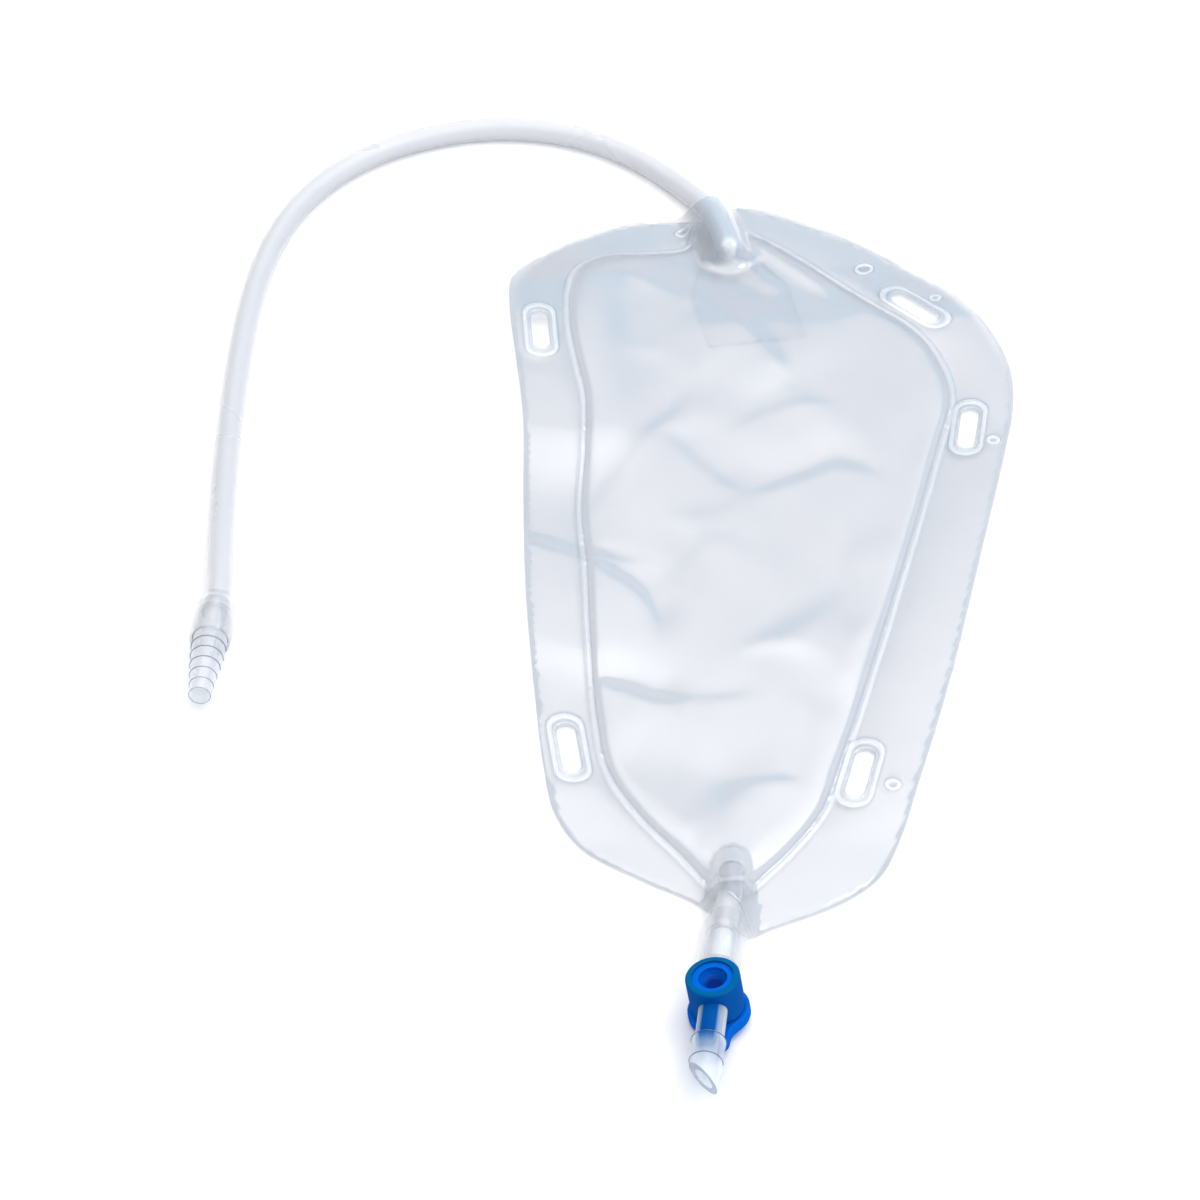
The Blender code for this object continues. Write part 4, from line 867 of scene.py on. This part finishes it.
def valve_body_finish(settings):
    """Injection-moulded clear SAN: glassy and blue wherever the plug shows through it, with painted
    reflection, highlights and shade.
    """
    made, tree, place = new_material("moulded_clear_valve_body")
    local, parts, from_axis = in_valve(tree, place)
    barrel = stepped(tree, from_axis, *BARREL_SIDE, 1.0, 0.0)
    # The spigot's root has a painted reflection of the blue plug along its middle and painted
    # highlight bars at its sides.
    aside = maths(tree, "ABSOLUTE", parts["X"])
    near = maths(tree, "MULTIPLY", stepped(tree, parts["Y"], *SPIGOT_REFLECTION_ALONG),
                 maths(tree, "LESS_THAN", parts["Y"], 0.0))
    root_reflection = maths(tree, "MULTIPLY", near, stepped(tree, aside, *REFLECTION_SIDE, 1.0, 0.0))
    highlight_bars = maths(tree, "MULTIPLY", near, stepped(tree, aside, *HIGHLIGHT_BAR_SIDE))
    shade = between(tree, stepped(tree, parts["Z"], *RING_FOOT), (*settings.barrel_colour, 1.0),
                    (*settings.ring_colour, 1.0))
    # Painted shade: a grey-blue line at the slanting cut at the spigot's end.
    slant = math.sqrt(0.5)
    across = vector_maths(tree, "DOT_PRODUCT", local, (slant, slant, 0.0), result="Value")
    from_cut = maths(tree, "ABSOLUTE", maths(tree, "ADD", across, slant * CUT_AT * MM))
    cut_shade = stepped(tree, from_cut, *CUT_SHADE_WIDTH, 1.0, 0.0)
    clear = between(tree, cut_shade, (*settings.clear_colour, 1.0), (*linear("#8C9FB4"), 1.0))
    # Painted reflection: the root's colour runs from clear to the blue of the plug.
    reflected_colour = between(tree, root_reflection, clear, (0.12, 0.36, 0.70, 1.0))
    reflected_colour = between(tree, maths(tree, "POWER", root_reflection, 3.0), reflected_colour, shade)
    share = maths(tree, "MAXIMUM", barrel, LEAST_MILKY)
    # Painted highlight: the bars beside the root are made milky white; painted shade at the cut;
    # painted reflection at the root.
    for milky, part in ((0.5, highlight_bars), (0.6, cut_shade), (0.85, root_reflection)):
        share = maths(tree, "MAXIMUM", share, maths(tree, "MULTIPLY", part, milky))
    blue = maths(tree, "MAXIMUM", barrel, root_reflection)
    normal = bump(tree, noise(tree, place, 700.0, 1.0), 0.15, 0.01)
    body = plastic(tree, between(tree, barrel, reflected_colour, shade), 0.08, 1.57, normal, specular=0.0)
    # The see-through part is tinted by the plug's blue in the barrel and by the painted reflection
    # in the spigot's root.
    see_through_tint = between(tree, blue, (0.996, 0.998, 1.0, 1.0), (0.45, 0.68, 0.86, 1.0))
    shine = maths(tree, "MULTIPLY", edge_share(tree, 0.03, 0.4),
                  spread(tree, blue, 0.0, 1.0, 0.8, 0.08))
    send_out(tree, glossed(tree, see_through(tree, see_through_tint, share, body), shine, 0.05, normal))
    return made


def plug_finish(settings):
    """Injection-moulded blue polyethylene: waxy satin, faint flow marks, and painted shade in its
    dish.
    """
    made, tree, place = new_material("moulded_blue_polyethylene")
    _, parts, from_axis = in_valve(tree, place)
    # Painted shade: the plug is darker inside its dish, towards the middle.
    dish_shade = maths(tree, "MULTIPLY", stepped(tree, from_axis, *DISH_SHADE_SIDE, 1.0, 0.0),
                 stepped(tree, parts["Z"], *DISH_SHADE_FLOOR))
    flow = noise(tree, place, 260.0, 3.0, 0.6)
    deep = tuple(c * 0.85 for c in settings.plug_colour)
    shade = between(tree, flow, (*settings.plug_colour, 1.0), (*deep, 1.0))
    shade = between(tree, dish_shade, shade, (*settings.dish_shade_colour, 1.0))
    normal = bump(tree, noise(tree, place, 1800.0, 2.0), 0.2, 0.02)
    body = plastic(tree, shade, spread(tree, flow, 0.3, 0.7, 0.2, 0.3), 1.51, normal, specular=0.0)
    send_out(tree, glossed(tree, body, edge_share(tree, 0.003, 0.02), 0.1, normal))
    return made


def floor_finish(settings):
    """Matt white paper sweep, with a barely seen fibre."""
    made, tree, place = new_material("matt_paper_floor")
    low = tuple(c * 0.994 for c in settings.floor_colour)
    shade = between(tree, noise(tree, place, 90.0, 4.0), (*settings.floor_colour, 1.0), (*low, 1.0))
    body = add_node(tree, "ShaderNodeBsdfPrincipled",
                    {"Base Color": shade, "Roughness": 0.9, "Specular IOR Level": 0.15})
    send_out(tree, body.outputs[0])
    return made


# Objects


def add_object(name, mesh, *finishes):
    """An object on a mesh, with its materials."""
    made = bpy.data.objects.new(name, mesh)
    bpy.context.scene.collection.objects.link(made)
    mesh.materials.clear()
    for finish in finishes:
        mesh.materials.append(finish)
    return made


def hand_over(made, node=None, body=BAG):
    """Hides the node that a piece stands for and hangs the piece on the body that carries it."""
    if node:
        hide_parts(node)
    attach(made, body)
    return made


def thicken(made, thickness, upward):
    """Gives an open surface its wall."""
    wall = made.modifiers.new("wall", "SOLIDIFY")
    wall.thickness = thickness
    wall.offset = 1.0 if upward else -1.0
    return wall


def film_shell(name, plan, faces, height, thickness, upward, finishes, marks=None):
    """A film: an open surface over the plan that is thickened up or down."""
    mesh = bpy.data.meshes.new(name)
    mesh.from_pydata((np.column_stack([plan, height]) * MM).tolist(), [], faces.tolist())
    mesh.shade_smooth()
    for label, values in (marks or {}).items():
        mesh.attributes.new(label, "FLOAT", "POINT").data.foreach_set("value", values)
    made = add_object(name, mesh, *finishes)
    thicken(made, thickness, upward).material_offset_rim = len(finishes) - 1
    return made


def geometry_tree(name, given):
    """A tree of geometry nodes with named inputs, and its inputs' sockets."""
    tree = bpy.data.node_groups.new(name, "GeometryNodeTree")
    for way in ("INPUT", "OUTPUT"):
        tree.interface.new_socket("Geometry", in_out=way, socket_type="NodeSocketGeometry")
    for label, kind, value in (*given, ("Finish", "Material", None)):
        socket = tree.interface.new_socket(label, in_out="INPUT", socket_type="NodeSocket" + kind)
        if value is not None:
            socket.default_value = value
    return tree, tree.nodes.new("NodeGroupInput").outputs


def end_tree(tree, geometry, finish):
    """Ends a tree of geometry nodes with real geometry and its material."""
    real = add_node(tree, "GeometryNodeRealizeInstances", {"Geometry": geometry})
    painted = add_node(tree, "GeometryNodeSetMaterial",
                       {"Geometry": real.outputs[0], "Material": finish})
    tree.links.new(painted.outputs[0], tree.nodes.new("NodeGroupOutput").inputs[0])
    return tree


def sweep_tree():
    """Geometry nodes that sweep a round section along a path."""
    tree, given = geometry_tree("swept_section", (
        ("Diameter", "Float", HOSE_OD * MM), ("Facets", "Int", 32)))
    path = add_node(tree, "GeometryNodeMeshToCurve", {"Mesh": given["Geometry"]})
    upright = add_node(tree, "GeometryNodeSetCurveNormal", {"Curve": path.outputs[0]})
    upright.mode = "Z_UP"
    section = add_node(tree, "GeometryNodeCurvePrimitiveCircle",
                       {"Resolution": given["Facets"],
                        "Radius": maths(tree, "MULTIPLY", given["Diameter"], 0.5)})
    swept = add_node(tree, "GeometryNodeCurveToMesh",
                     {"Curve": upright.outputs[0], "Profile Curve": section.outputs[0]})
    return end_tree(tree, swept.outputs[0], given["Finish"])


def rim_tree():
    """Geometry nodes that set a thin upper arc of painted shade line at each point, as wide as the
    point says.
    """
    tree, given = geometry_tree("painted_rim_shade_lines", (
        ("Section share", "Float", 0.03), ("Facets", "Int", 64)))
    arc = add_node(tree, "GeometryNodeCurveArc",
                   {"Resolution": given["Facets"], "Radius": 1.0,
                    "Start Angle": math.radians(-12.0), "Sweep Angle": math.radians(204.0)})
    section = add_node(tree, "GeometryNodeCurvePrimitiveCircle",
                       {"Resolution": 8, "Radius": given["Section share"]})
    ring = add_node(tree, "GeometryNodeCurveToMesh",
                    {"Curve": arc.outputs[0], "Profile Curve": section.outputs[0],
                     "Fill Caps": True})
    radius, lean = (
        add_node(tree, "GeometryNodeInputNamedAttribute", {"Name": label},
                 data_type=kind).outputs["Attribute"]
        for label, kind in (("rim_radius", "FLOAT"), ("rim_turn", "FLOAT_VECTOR"))
    )
    size = add_node(tree, "ShaderNodeCombineXYZ", {axis: radius for axis in "XYZ"})
    turn = add_node(tree, "FunctionNodeEulerToRotation", {"Euler": lean})
    placed = add_node(tree, "GeometryNodeInstanceOnPoints",
                      {"Points": given["Geometry"], "Instance": ring.outputs[0],
                       "Rotation": turn.outputs[0], "Scale": size.outputs[0]})
    return end_tree(tree, placed.outputs[0], given["Finish"])


def guide_object(name, corners, edges):
    """A guide of points and edges, which modifiers turn into a piece."""
    mesh = bpy.data.meshes.new(name + "_guide")
    mesh.from_pydata(corners, edges, [])
    guide = bpy.data.objects.new(name + "_guide", mesh)
    bpy.context.scene.collection.objects.link(guide)
    return guide


def plain_mesh(guide, name):
    """The plain mesh that a guide's modifiers make; the guide goes."""
    graph = bpy.context.evaluated_depsgraph_get()
    made = bpy.data.meshes.new_from_object(guide.evaluated_get(graph))
    bpy.data.objects.remove(guide)
    made.name = name
    return made


def generated(guide, tree_name, make_tree, values, name):
    """The piece that a tree of geometry nodes makes of a guide."""
    step = guide.modifiers.new("nodes", "NODES")
    step.node_group = bpy.data.node_groups.get(tree_name) or make_tree()
    for item in step.node_group.interface.items_tree:
        if item.in_out == "INPUT" and item.name in values:
            step[item.identifier] = values[item.name]
    made = plain_mesh(guide, name)
    made.shade_smooth()
    return add_object(name, made, values["Finish"])


def tube(name, line, spacing, diameter, bore, finish, facets=36):
    """A hollow tube along a line in millimetres; its diameters are in metres."""
    path = spaced(line, spacing)
    edges = [(k, k + 1) for k in range(len(path) - 1)]
    made = generated(guide_object(name, (path * MM).tolist(), edges), "swept_section", sweep_tree,
                     {"Diameter": diameter, "Facets": facets, "Finish": finish}, name)
    thicken(made, (diameter - bore) / 2, False)
    return made


def rims(name, place, sizes, section, finish):
    """Thin arcs of painted shade line round a place's own Z axis, from (height, radius, turn) in mm
    and degrees.
    """
    guide = guide_object(name, [place @ Vector((0.0, 0.0, size[0] * MM)) for size in sizes], [])
    add_attribute = guide.data.attributes.new
    add_attribute("rim_radius", "FLOAT", "POINT").data.foreach_set(
        "value", [radius * MM for _, radius, _ in sizes])
    turns = [(place @ Matrix.Rotation(math.radians(size[2]), 4, "Z")).to_euler() for size in sizes]
    add_attribute("rim_turn", "FLOAT_VECTOR", "POINT").data.foreach_set(
        "vector", [angle for turn in turns for angle in turn])
    widest = max(size[1] for size in sizes) * MM
    values = {"Section share": section / 2 / widest, "Facets": 64, "Finish": finish}
    return hand_over(generated(guide, "painted_rim_shade_lines", rim_tree, values, name))


def turned(name, profile, steps, finish, place):
    """A ring turned about Z from (radius, height) points in millimetres, then placed."""
    corners = [(radius * MM, 0.0, height * MM) for radius, height in profile]
    edges = [(k, (k + 1) % len(corners)) for k in range(len(corners))]
    guide = guide_object(name, corners, edges)
    screw = guide.modifiers.new("turn", "SCREW")
    screw.steps = screw.render_steps = steps
    screw.use_merge_vertices = True
    screw.merge_threshold = 0.000001
    screw.use_smooth_shade = True
    made = plain_mesh(guide, name)
    made.transform(place)
    made.set_sharp_from_angle(angle=math.radians(40.0))
    return add_object(name, made, finish)


def sleeve(name, neck_od, held_od, finish, place):
    """A soft joining sleeve: its mouth at height 0 grips held_od, its neck neck_od."""
    mouth, neck, outside = held_od / 2 + FIT, neck_od / 2 + FIT, SLEEVE_OD / 2
    neck_outside = neck + SLEEVE_WALL
    profile = [(neck, SLEEVE_LENGTH), (neck + 0.1, SLEEVE_LENGTH),
               (neck_outside, SLEEVE_LENGTH - 0.15)]
    for k in range(1, 13):
        share = 0.5 - 0.5 * math.cos(math.pi * k / 12)
        profile.append((neck_outside + (outside - neck_outside) * share,
                        SLEEVE_LENGTH - SLEEVE_SHOULDER * k / 12))
    profile += [
        (outside, SLEEVE_MOUTH_TAPER), (mouth + SLEEVE_WALL, 0.12),
        (mouth + SLEEVE_WALL - 0.1, 0.0), (mouth, 0.0), (mouth, SLEEVE_GRIP),
        (neck, SLEEVE_GRIP + FIT),
    ]
    return turned(name, profile, 72, finish, place)


def refinish(node, finish):
    """Gives a node that stays its detailed material, in every slot."""
    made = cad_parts[node]
    for slot in made.material_slots:
        slot.material = finish
    return made


# Settings


def length_of(name, description, size_mm):
    """A length setting; its default is given in millimetres."""
    return FloatProperty(name=name, description=description, default=size_mm * MM,
                         unit="LENGTH", precision=5)


def colour_of(name, description, colour):
    """A colour setting."""
    return FloatVectorProperty(name=name, description=description, subtype="COLOR",
                               default=colour, min=0.0, max=1.0)


def share_of(name, description, share):
    """A setting between none and all."""
    return FloatProperty(name=name, description=description, default=share, min=0.0, max=1.0,
                         subtype="FACTOR")


class BagFilmSettings(bpy.types.PropertyGroup):
    """Sizes and colours of the two welded films and the non-return flaps."""

    film_thickness: length_of("Film thickness", "Thickness of each welded film", FILM)
    flap_thickness: length_of("Flap thickness", "Thickness of each non-return flap", FLAP_THICK)
    front_spacing: length_of(
        "Front mesh spacing", "Distance between points of the front film", 1.9)
    back_spacing: length_of("Back mesh spacing", "Distance between points of the back film", 2.8)
    bead_rise: length_of(
        "Weld bead rise", "How far the weld bead stands proud of the flange", 0.28)
    film_colour: colour_of(
        "Film colour", "Colour of the light that the film scatters", linear("#DDE0E6"))
    film_tint: colour_of(
        "Film tint", "Colour that light takes on through one surface", (0.957, 0.959, 0.965))
    film_haze: share_of("Film haze", "Share of light that one film surface scatters", 0.04)
    film_gloss: share_of(
        "Film gloss", "Share of light that the front film mirrors face on", 0.095)


class BagHoseSettings(bpy.types.PropertyGroup):
    """Sizes and colours of the drain hose, the outlet stub and the sleeves."""

    hose_diameter: length_of("Hose diameter", "Outside diameter of the drain hose", HOSE_OD)
    hose_bore: length_of("Hose bore", "Inside diameter of the drain hose", HOSE_BORE)
    hose_facets: IntProperty(
        name="Hose facets", description="Facets round the hose", default=36, min=12)
    hose_colour: colour_of("Hose colour", "Colour of the milky hose", linear("#E9E8EB"))
    hose_haze: share_of("Hose haze", "Share of light that one hose surface scatters", 0.42)
    sleeve_colour: colour_of(
        "Sleeve colour", "Colour of the soft joining sleeves", linear("#D4D4D7"))
    sleeve_haze: share_of("Sleeve haze", "Share of light that one sleeve surface scatters", 0.12)


class BagMouldingSettings(bpy.types.PropertyGroup):
    """Colours of the hard mouldings."""

    clear_colour: colour_of("Clear moulding", "Colour of the clear valve body", linear("#F8FBFF"))
    plug_colour: colour_of(
        "Blue moulding", "Colour of the valve's plug and handle", linear("#0066D0"))
    # The dish colour is painted shade deep in the plug's dish.
    dish_shade_colour: colour_of(
        "Dish", "Colour of the blue moulding deep in its dish", linear("#022572"))
    barrel_colour: colour_of(
        "Barrel", "Colour that the plug gives the clear barrel round it", linear("#02529F"))
    ring_colour: colour_of(
        "Barrel ring", "Colour of the barrel's top ring over the plug", linear("#005E94"))
    # The rims' line is a painted dark shade line.
    rim_section: length_of("Rim line", "Thickness of the line that a moulded rim shows", 0.3)


class BagStageSettings(bpy.types.PropertyGroup):
    """The floor, the light and the camera."""

    floor_colour: colour_of("Floor", "Colour of the plain floor", linear("#FBF9F8"))
    sky_strength: FloatProperty(
        name="Light strength", description="Brightness of the soft light from above",
        default=1.12, min=0.0)
    lamp_power: FloatProperty(
        name="Lamp power", description="Power of the softbox, in watts", default=1.0, min=0.0)
    lens: FloatProperty(
        name="Lens", description="Focal length of the camera in millimetres", default=103.5)


SETTINGS = {
    "bag_film": BagFilmSettings,
    "bag_hose": BagHoseSettings,
    "bag_moulding": BagMouldingSettings,
    "bag_stage": BagStageSettings,
}


# Operators

# Where the camera stands, in metres, and how far it is raised from looking straight down.
EYE, EYE_RAISE = (-0.0464, -0.7047, 0.6115), 49.0
SOFTBOX_AT, SOFTBOX_SIZE = Vector((0.5, 0.12, 0.9)), 0.3
FLOOR_HALF, FLOOR_LEVEL = 4.0, -0.00015
# The room's light by the height that a ray points to: a dim floor, a blue band, a bright ceiling.
SKY_TOP = 2.05
SKY = (
    (0.0, (0.28, 0.33, 0.40)), (0.42, (0.28, 0.33, 0.40)), (0.5, (0.12, 0.30, 0.44)),
    (0.535, (0.06, 0.31, 0.48)), (0.581, (0.07, 0.33, 0.50)), (0.589, (0.38, 0.48, 0.57)),
    (0.607, (0.52, 0.58, 0.63)), (0.643, (0.80, 0.80, 0.82)), (0.676, (1.06, 1.06, 1.07)),
    (0.705, (1.2, 1.2, 1.2)), (0.78, (1.55, 1.55, 1.55)), (0.9, (SKY_TOP, SKY_TOP, SKY_TOP)),
)


class BAG_OT_stage(bpy.types.Operator):
    """Adds the camera, the soft light and the plain floor"""

    bl_idname = "drainage_bag.stage"
    bl_label = "Stage"

    def execute(self, context):
        scene, settings = context.scene, context.scene.bag_stage
        camera = bpy.data.cameras.new("camera")
        camera.lens = settings.lens
        camera.sensor_width = 36.0
        camera.clip_start, camera.clip_end = 0.05, 30.0
        eye = bpy.data.objects.new("camera", camera)
        eye.location = EYE
        eye.rotation_euler = (math.radians(EYE_RAISE), 0.0, 0.0)
        scene.collection.objects.link(eye)
        scene.camera = eye

        scene.world = bpy.data.worlds.new("soft_studio")
        scene.world.use_nodes = True
        tree = scene.world.node_tree
        tree.nodes.clear()
        way = add_node(tree, "ShaderNodeTexCoord").outputs["Generated"]
        parts = add_node(tree, "ShaderNodeSeparateXYZ", {"Vector": way}).outputs
        stops = [(at, tuple(c / SKY_TOP for c in light)) for at, light in SKY]
        # The low part of the room is darker to the left.
        side = add_node(tree, "ShaderNodeMix",
                        {"Factor": spread(tree, parts["Z"], 0.72, 0.86, 1.0, 0.0), "A": 1.0,
                         "B": spread(tree, parts["X"], -0.45, 0.45, 0.5, 1.5)}).outputs[0]
        shine = maths(tree, "MULTIPLY", side, SKY_TOP * settings.sky_strength)
        sky = add_node(tree, "ShaderNodeBackground",
                       {"Color": ramp(tree, parts["Z"], stops), "Strength": shine})
        send_out(tree, sky.outputs[0], "World")

        softbox = bpy.data.lights.new("softbox", "AREA")
        softbox.shape = "SQUARE"
        softbox.size = SOFTBOX_SIZE
        softbox.energy = settings.lamp_power
        lamp = bpy.data.objects.new("softbox", softbox)
        lamp.location = SOFTBOX_AT
        lamp.rotation_euler = (-SOFTBOX_AT).to_track_quat("-Z", "Y").to_euler()
        scene.collection.objects.link(lamp)

        mesh = bpy.data.meshes.new("floor")
        corners = [(x * FLOOR_HALF, y * FLOOR_HALF, FLOOR_LEVEL)
                   for x, y in ((-1, -1), (1, -1), (1, 1), (-1, 1))]
        mesh.from_pydata(corners, [], [(0, 1, 2, 3)])
        add_object("floor", mesh, floor_finish(settings))
        scene.view_settings.view_transform = "Standard"
        scene.cycles.transparent_max_bounces = 32
        return {"FINISHED"}


class BAG_OT_hose(bpy.types.Operator):
    """Adds the drain hose, hollow, along its route on the surface"""

    bl_idname = "drainage_bag.hose"
    bl_label = "Drain hose"

    def execute(self, context):
        settings = context.scene.bag_hose
        made = tube("drain_hose_tube", HOSE_LINE, HOSE_STEP, settings.hose_diameter,
                    settings.hose_bore, hose_finish(settings), settings.hose_facets)
        hand_over(made, "drain_hose")
        return {"FINISHED"}


class BAG_OT_connector(bpy.types.Operator):
    """Adds the upper sleeve and finishes the stepped connector"""

    bl_idname = "drainage_bag.connector"
    bl_label = "Connector"

    def execute(self, context):
        settings = context.scene.bag_hose
        back = Vector(HOSE_LINE[-3] - HOSE_LINE[-1]).normalized()
        mouth = Vector(HOSE_LINE[-1]) * MM - back * (SLEEVE_GRIP + 2 * FIT) * MM
        place = Matrix.Translation(mouth) @ back.to_track_quat("Z", "Y").to_matrix().to_4x4()
        made = sleeve("connector_sleeve_soft", HOSE_OD, CONNECTOR_RIMS[0], sleeve_finish(settings),
                      place)
        hand_over(made, "connector_sleeve")
        connector = refinish("stepped_connector", connector_finish())
        steps = [(1.0 - RIM_STEP * k, rim / 2, 0.0) for k, rim in enumerate(CONNECTOR_RIMS)]
        tip = 1.0 - RIM_STEP * len(CONNECTOR_RIMS)
        # Painted shade lines along the connector's rims and round its mouth.
        lines = rims("connector_rim_shade_lines", place,
                     [*steps, (tip, TIP_RADIUS, 0.0), (tip, TIP_RADIUS, 180.0)],
                     context.scene.bag_moulding.rim_section, rim_shade_line_finish())
        return {"FINISHED"}


class BAG_OT_films(bpy.types.Operator):
    """Adds the front and back films, welded round the chamber and the strap slots"""

    bl_idname = "drainage_bag.films"
    bl_label = "Films"

    def execute(self, context):
        settings = context.scene.bag_film
        edge = cut_edge_finish()
        plan, faces = bag_plan(settings.back_spacing / MM)
        back = film_shell("back_film_sheet", plan, faces, back_top(plan),
                          settings.film_thickness, False, (back_film_finish(settings), edge))
        plan, faces = bag_plan(settings.front_spacing / MM)
        front = film_shell("front_film_sheet", plan, faces, front_under(plan, settings),
                           settings.film_thickness, True, (film_finish(settings), edge),
                           film_marks(plan))
        for made, node, under in ((back, "back_film", []), (front, "front_film", [back])):
            hand_over(made, node)
        return {"FINISHED"}


class BAG_OT_flaps(bpy.types.Operator):
    """Adds the two thin flaps of the non-return valve at the hose's inner end"""

    bl_idname = "drainage_bag.flaps"
    bl_label = "Non-return flaps"

    def execute(self, context):
        settings = context.scene.bag_film
        start, ahead = HOSE_LINE[0, :2], HOSE_LINE[0, :2] - HOSE_LINE[6, :2]
        ahead = ahead / np.linalg.norm(ahead)
        across = np.array([-ahead[1], ahead[0]])
        mouth, end = FLAP_MOUTH / 2, FLAP_END / 2
        shape = (
            (-FLAP_OVERLAP, -mouth), (-FLAP_OVERLAP, 0.0), (-FLAP_OVERLAP, mouth),
            (0.0, mouth + 2.0), (FLAP_FLARE, end), (FLAP_LENGTH / 2, end),
            (FLAP_LENGTH, end), (FLAP_LENGTH, 0.0), (FLAP_LENGTH, -end),
            (FLAP_LENGTH / 2, -end), (FLAP_FLARE, -end), (0.0, -mouth - 2.0),
        )
        outer = spaced(np.array([start + ahead * u + across * v for u, v in shape]), 1.4,
                       closed=True)[::-1]
        kept = thinned(tube_rows(TUNNEL_LINE, SEAM_STEP), outer, FLAP_GAP)
        kept += thinned(grid_points(outer.min(axis=0), outer.max(axis=0), FLAP_SPACING),
                        [*outer, *kept], 1.3)
        kept = np.array(kept)
        plan, faces = plan_mesh(outer, [], kept[depth_inside(kept, outer) > FLAP_GAP])
        finish = flap_finish(settings)
        base = back_top(plan)
        over = over_tube(plan, TUNNEL_LINE, HOSE_OD / 2 + FIT + FLAP_ROOM, FLAP_SLOPE, 1.0)
        upper = larger(base + 2 * FIT + FLAP_THICK, over)
        for node, height in (("nonreturn_back_flap", base + FIT), ("nonreturn_front_flap", upper)):
            hand_over(film_shell(node + "_film", plan, faces, height, settings.flap_thickness,
                                 True, (finish,)), node)
        return {"FINISHED"}


class BAG_OT_outlet(bpy.types.Operator):
    """Adds the outlet stub and the lower sleeve that joins it to the valve"""

    bl_idname = "drainage_bag.outlet"
    bl_label = "Outlet"

    def execute(self, context):
        stub = tube("outlet_stub_tube", STUB_LINE, 1.5, STUB_OD * MM, STUB_BORE * MM,
                    bpy.data.materials["extruded_milky_pvc"])
        hand_over(stub, "outlet_stub")
        place = valve_matrix() @ Matrix.Translation((0.0, SLEEVE_START * MM, 0.0))
        made = sleeve("outlet_sleeve_soft", STUB_OD, BARB_OD,
                      bpy.data.materials["dip_moulded_pvc_sleeve"],
                      place @ Matrix.Rotation(math.radians(-90.0), 4, "X"))
        hand_over(made, "outlet_sleeve")
        return {"FINISHED"}


class BAG_OT_valve(bpy.types.Operator):
    """Finishes the clear valve body and the blue plug"""

    bl_idname = "drainage_bag.valve"
    bl_label = "Valve"

    def execute(self, context):
        settings = context.scene.bag_moulding
        refinish("valve_body", valve_body_finish(settings))
        blue = plug_finish(settings)
        refinish("valve_plug", blue)
        hand_over(turned("plug_lip", PLUG_LIP, 64, blue, valve_matrix()),
                  body="plug")
        # Painted shade lines along the spigot's rims.
        rims("spigot_rim_shade_lines", valve_matrix() @ Matrix.Rotation(math.radians(90.0), 4, "X"),
             [(along, rim / 2, 0.0) for along, rim in SPIGOT_RIMS], settings.rim_section,
             bpy.data.materials["clear_rim_painted_shade_line"])
        return {"FINISHED"}


OPERATORS = (
    BAG_OT_stage, BAG_OT_hose, BAG_OT_connector, BAG_OT_films, BAG_OT_flaps, BAG_OT_outlet,
    BAG_OT_valve,
)


class BAG_PT_panel(bpy.types.Panel):
    """Lists the pieces of the drainage bag"""

    bl_label = "Drainage Bag"
    bl_idname = "BAG_PT_panel"
    bl_space_type = "VIEW_3D"
    bl_region_type = "UI"
    bl_category = "Drainage Bag"

    def draw(self, context):
        for group in SETTINGS:
            settings = getattr(context.scene, group)
            box = self.layout.box()
            for name in settings.__annotations__:
                box.prop(settings, name)
        for operator in OPERATORS:
            self.layout.operator(operator.bl_idname)


def register():
    for made in (*SETTINGS.values(), *OPERATORS, BAG_PT_panel):
        bpy.utils.register_class(made)
    for name, kind in SETTINGS.items():
        setattr(bpy.types.Scene, name, PointerProperty(type=kind))


def unregister():
    for name in SETTINGS:
        delattr(bpy.types.Scene, name)
    for made in reversed((*SETTINGS.values(), *OPERATORS, BAG_PT_panel)):
        bpy.utils.unregister_class(made)


def main():
    register()
    bpy.ops.drainage_bag.stage()
    bpy.ops.drainage_bag.hose()
    bpy.ops.drainage_bag.connector()
    bpy.ops.drainage_bag.films()
    bpy.ops.drainage_bag.flaps()
    bpy.ops.drainage_bag.outlet()
    bpy.ops.drainage_bag.valve()


if __name__ == "__main__":
    main()
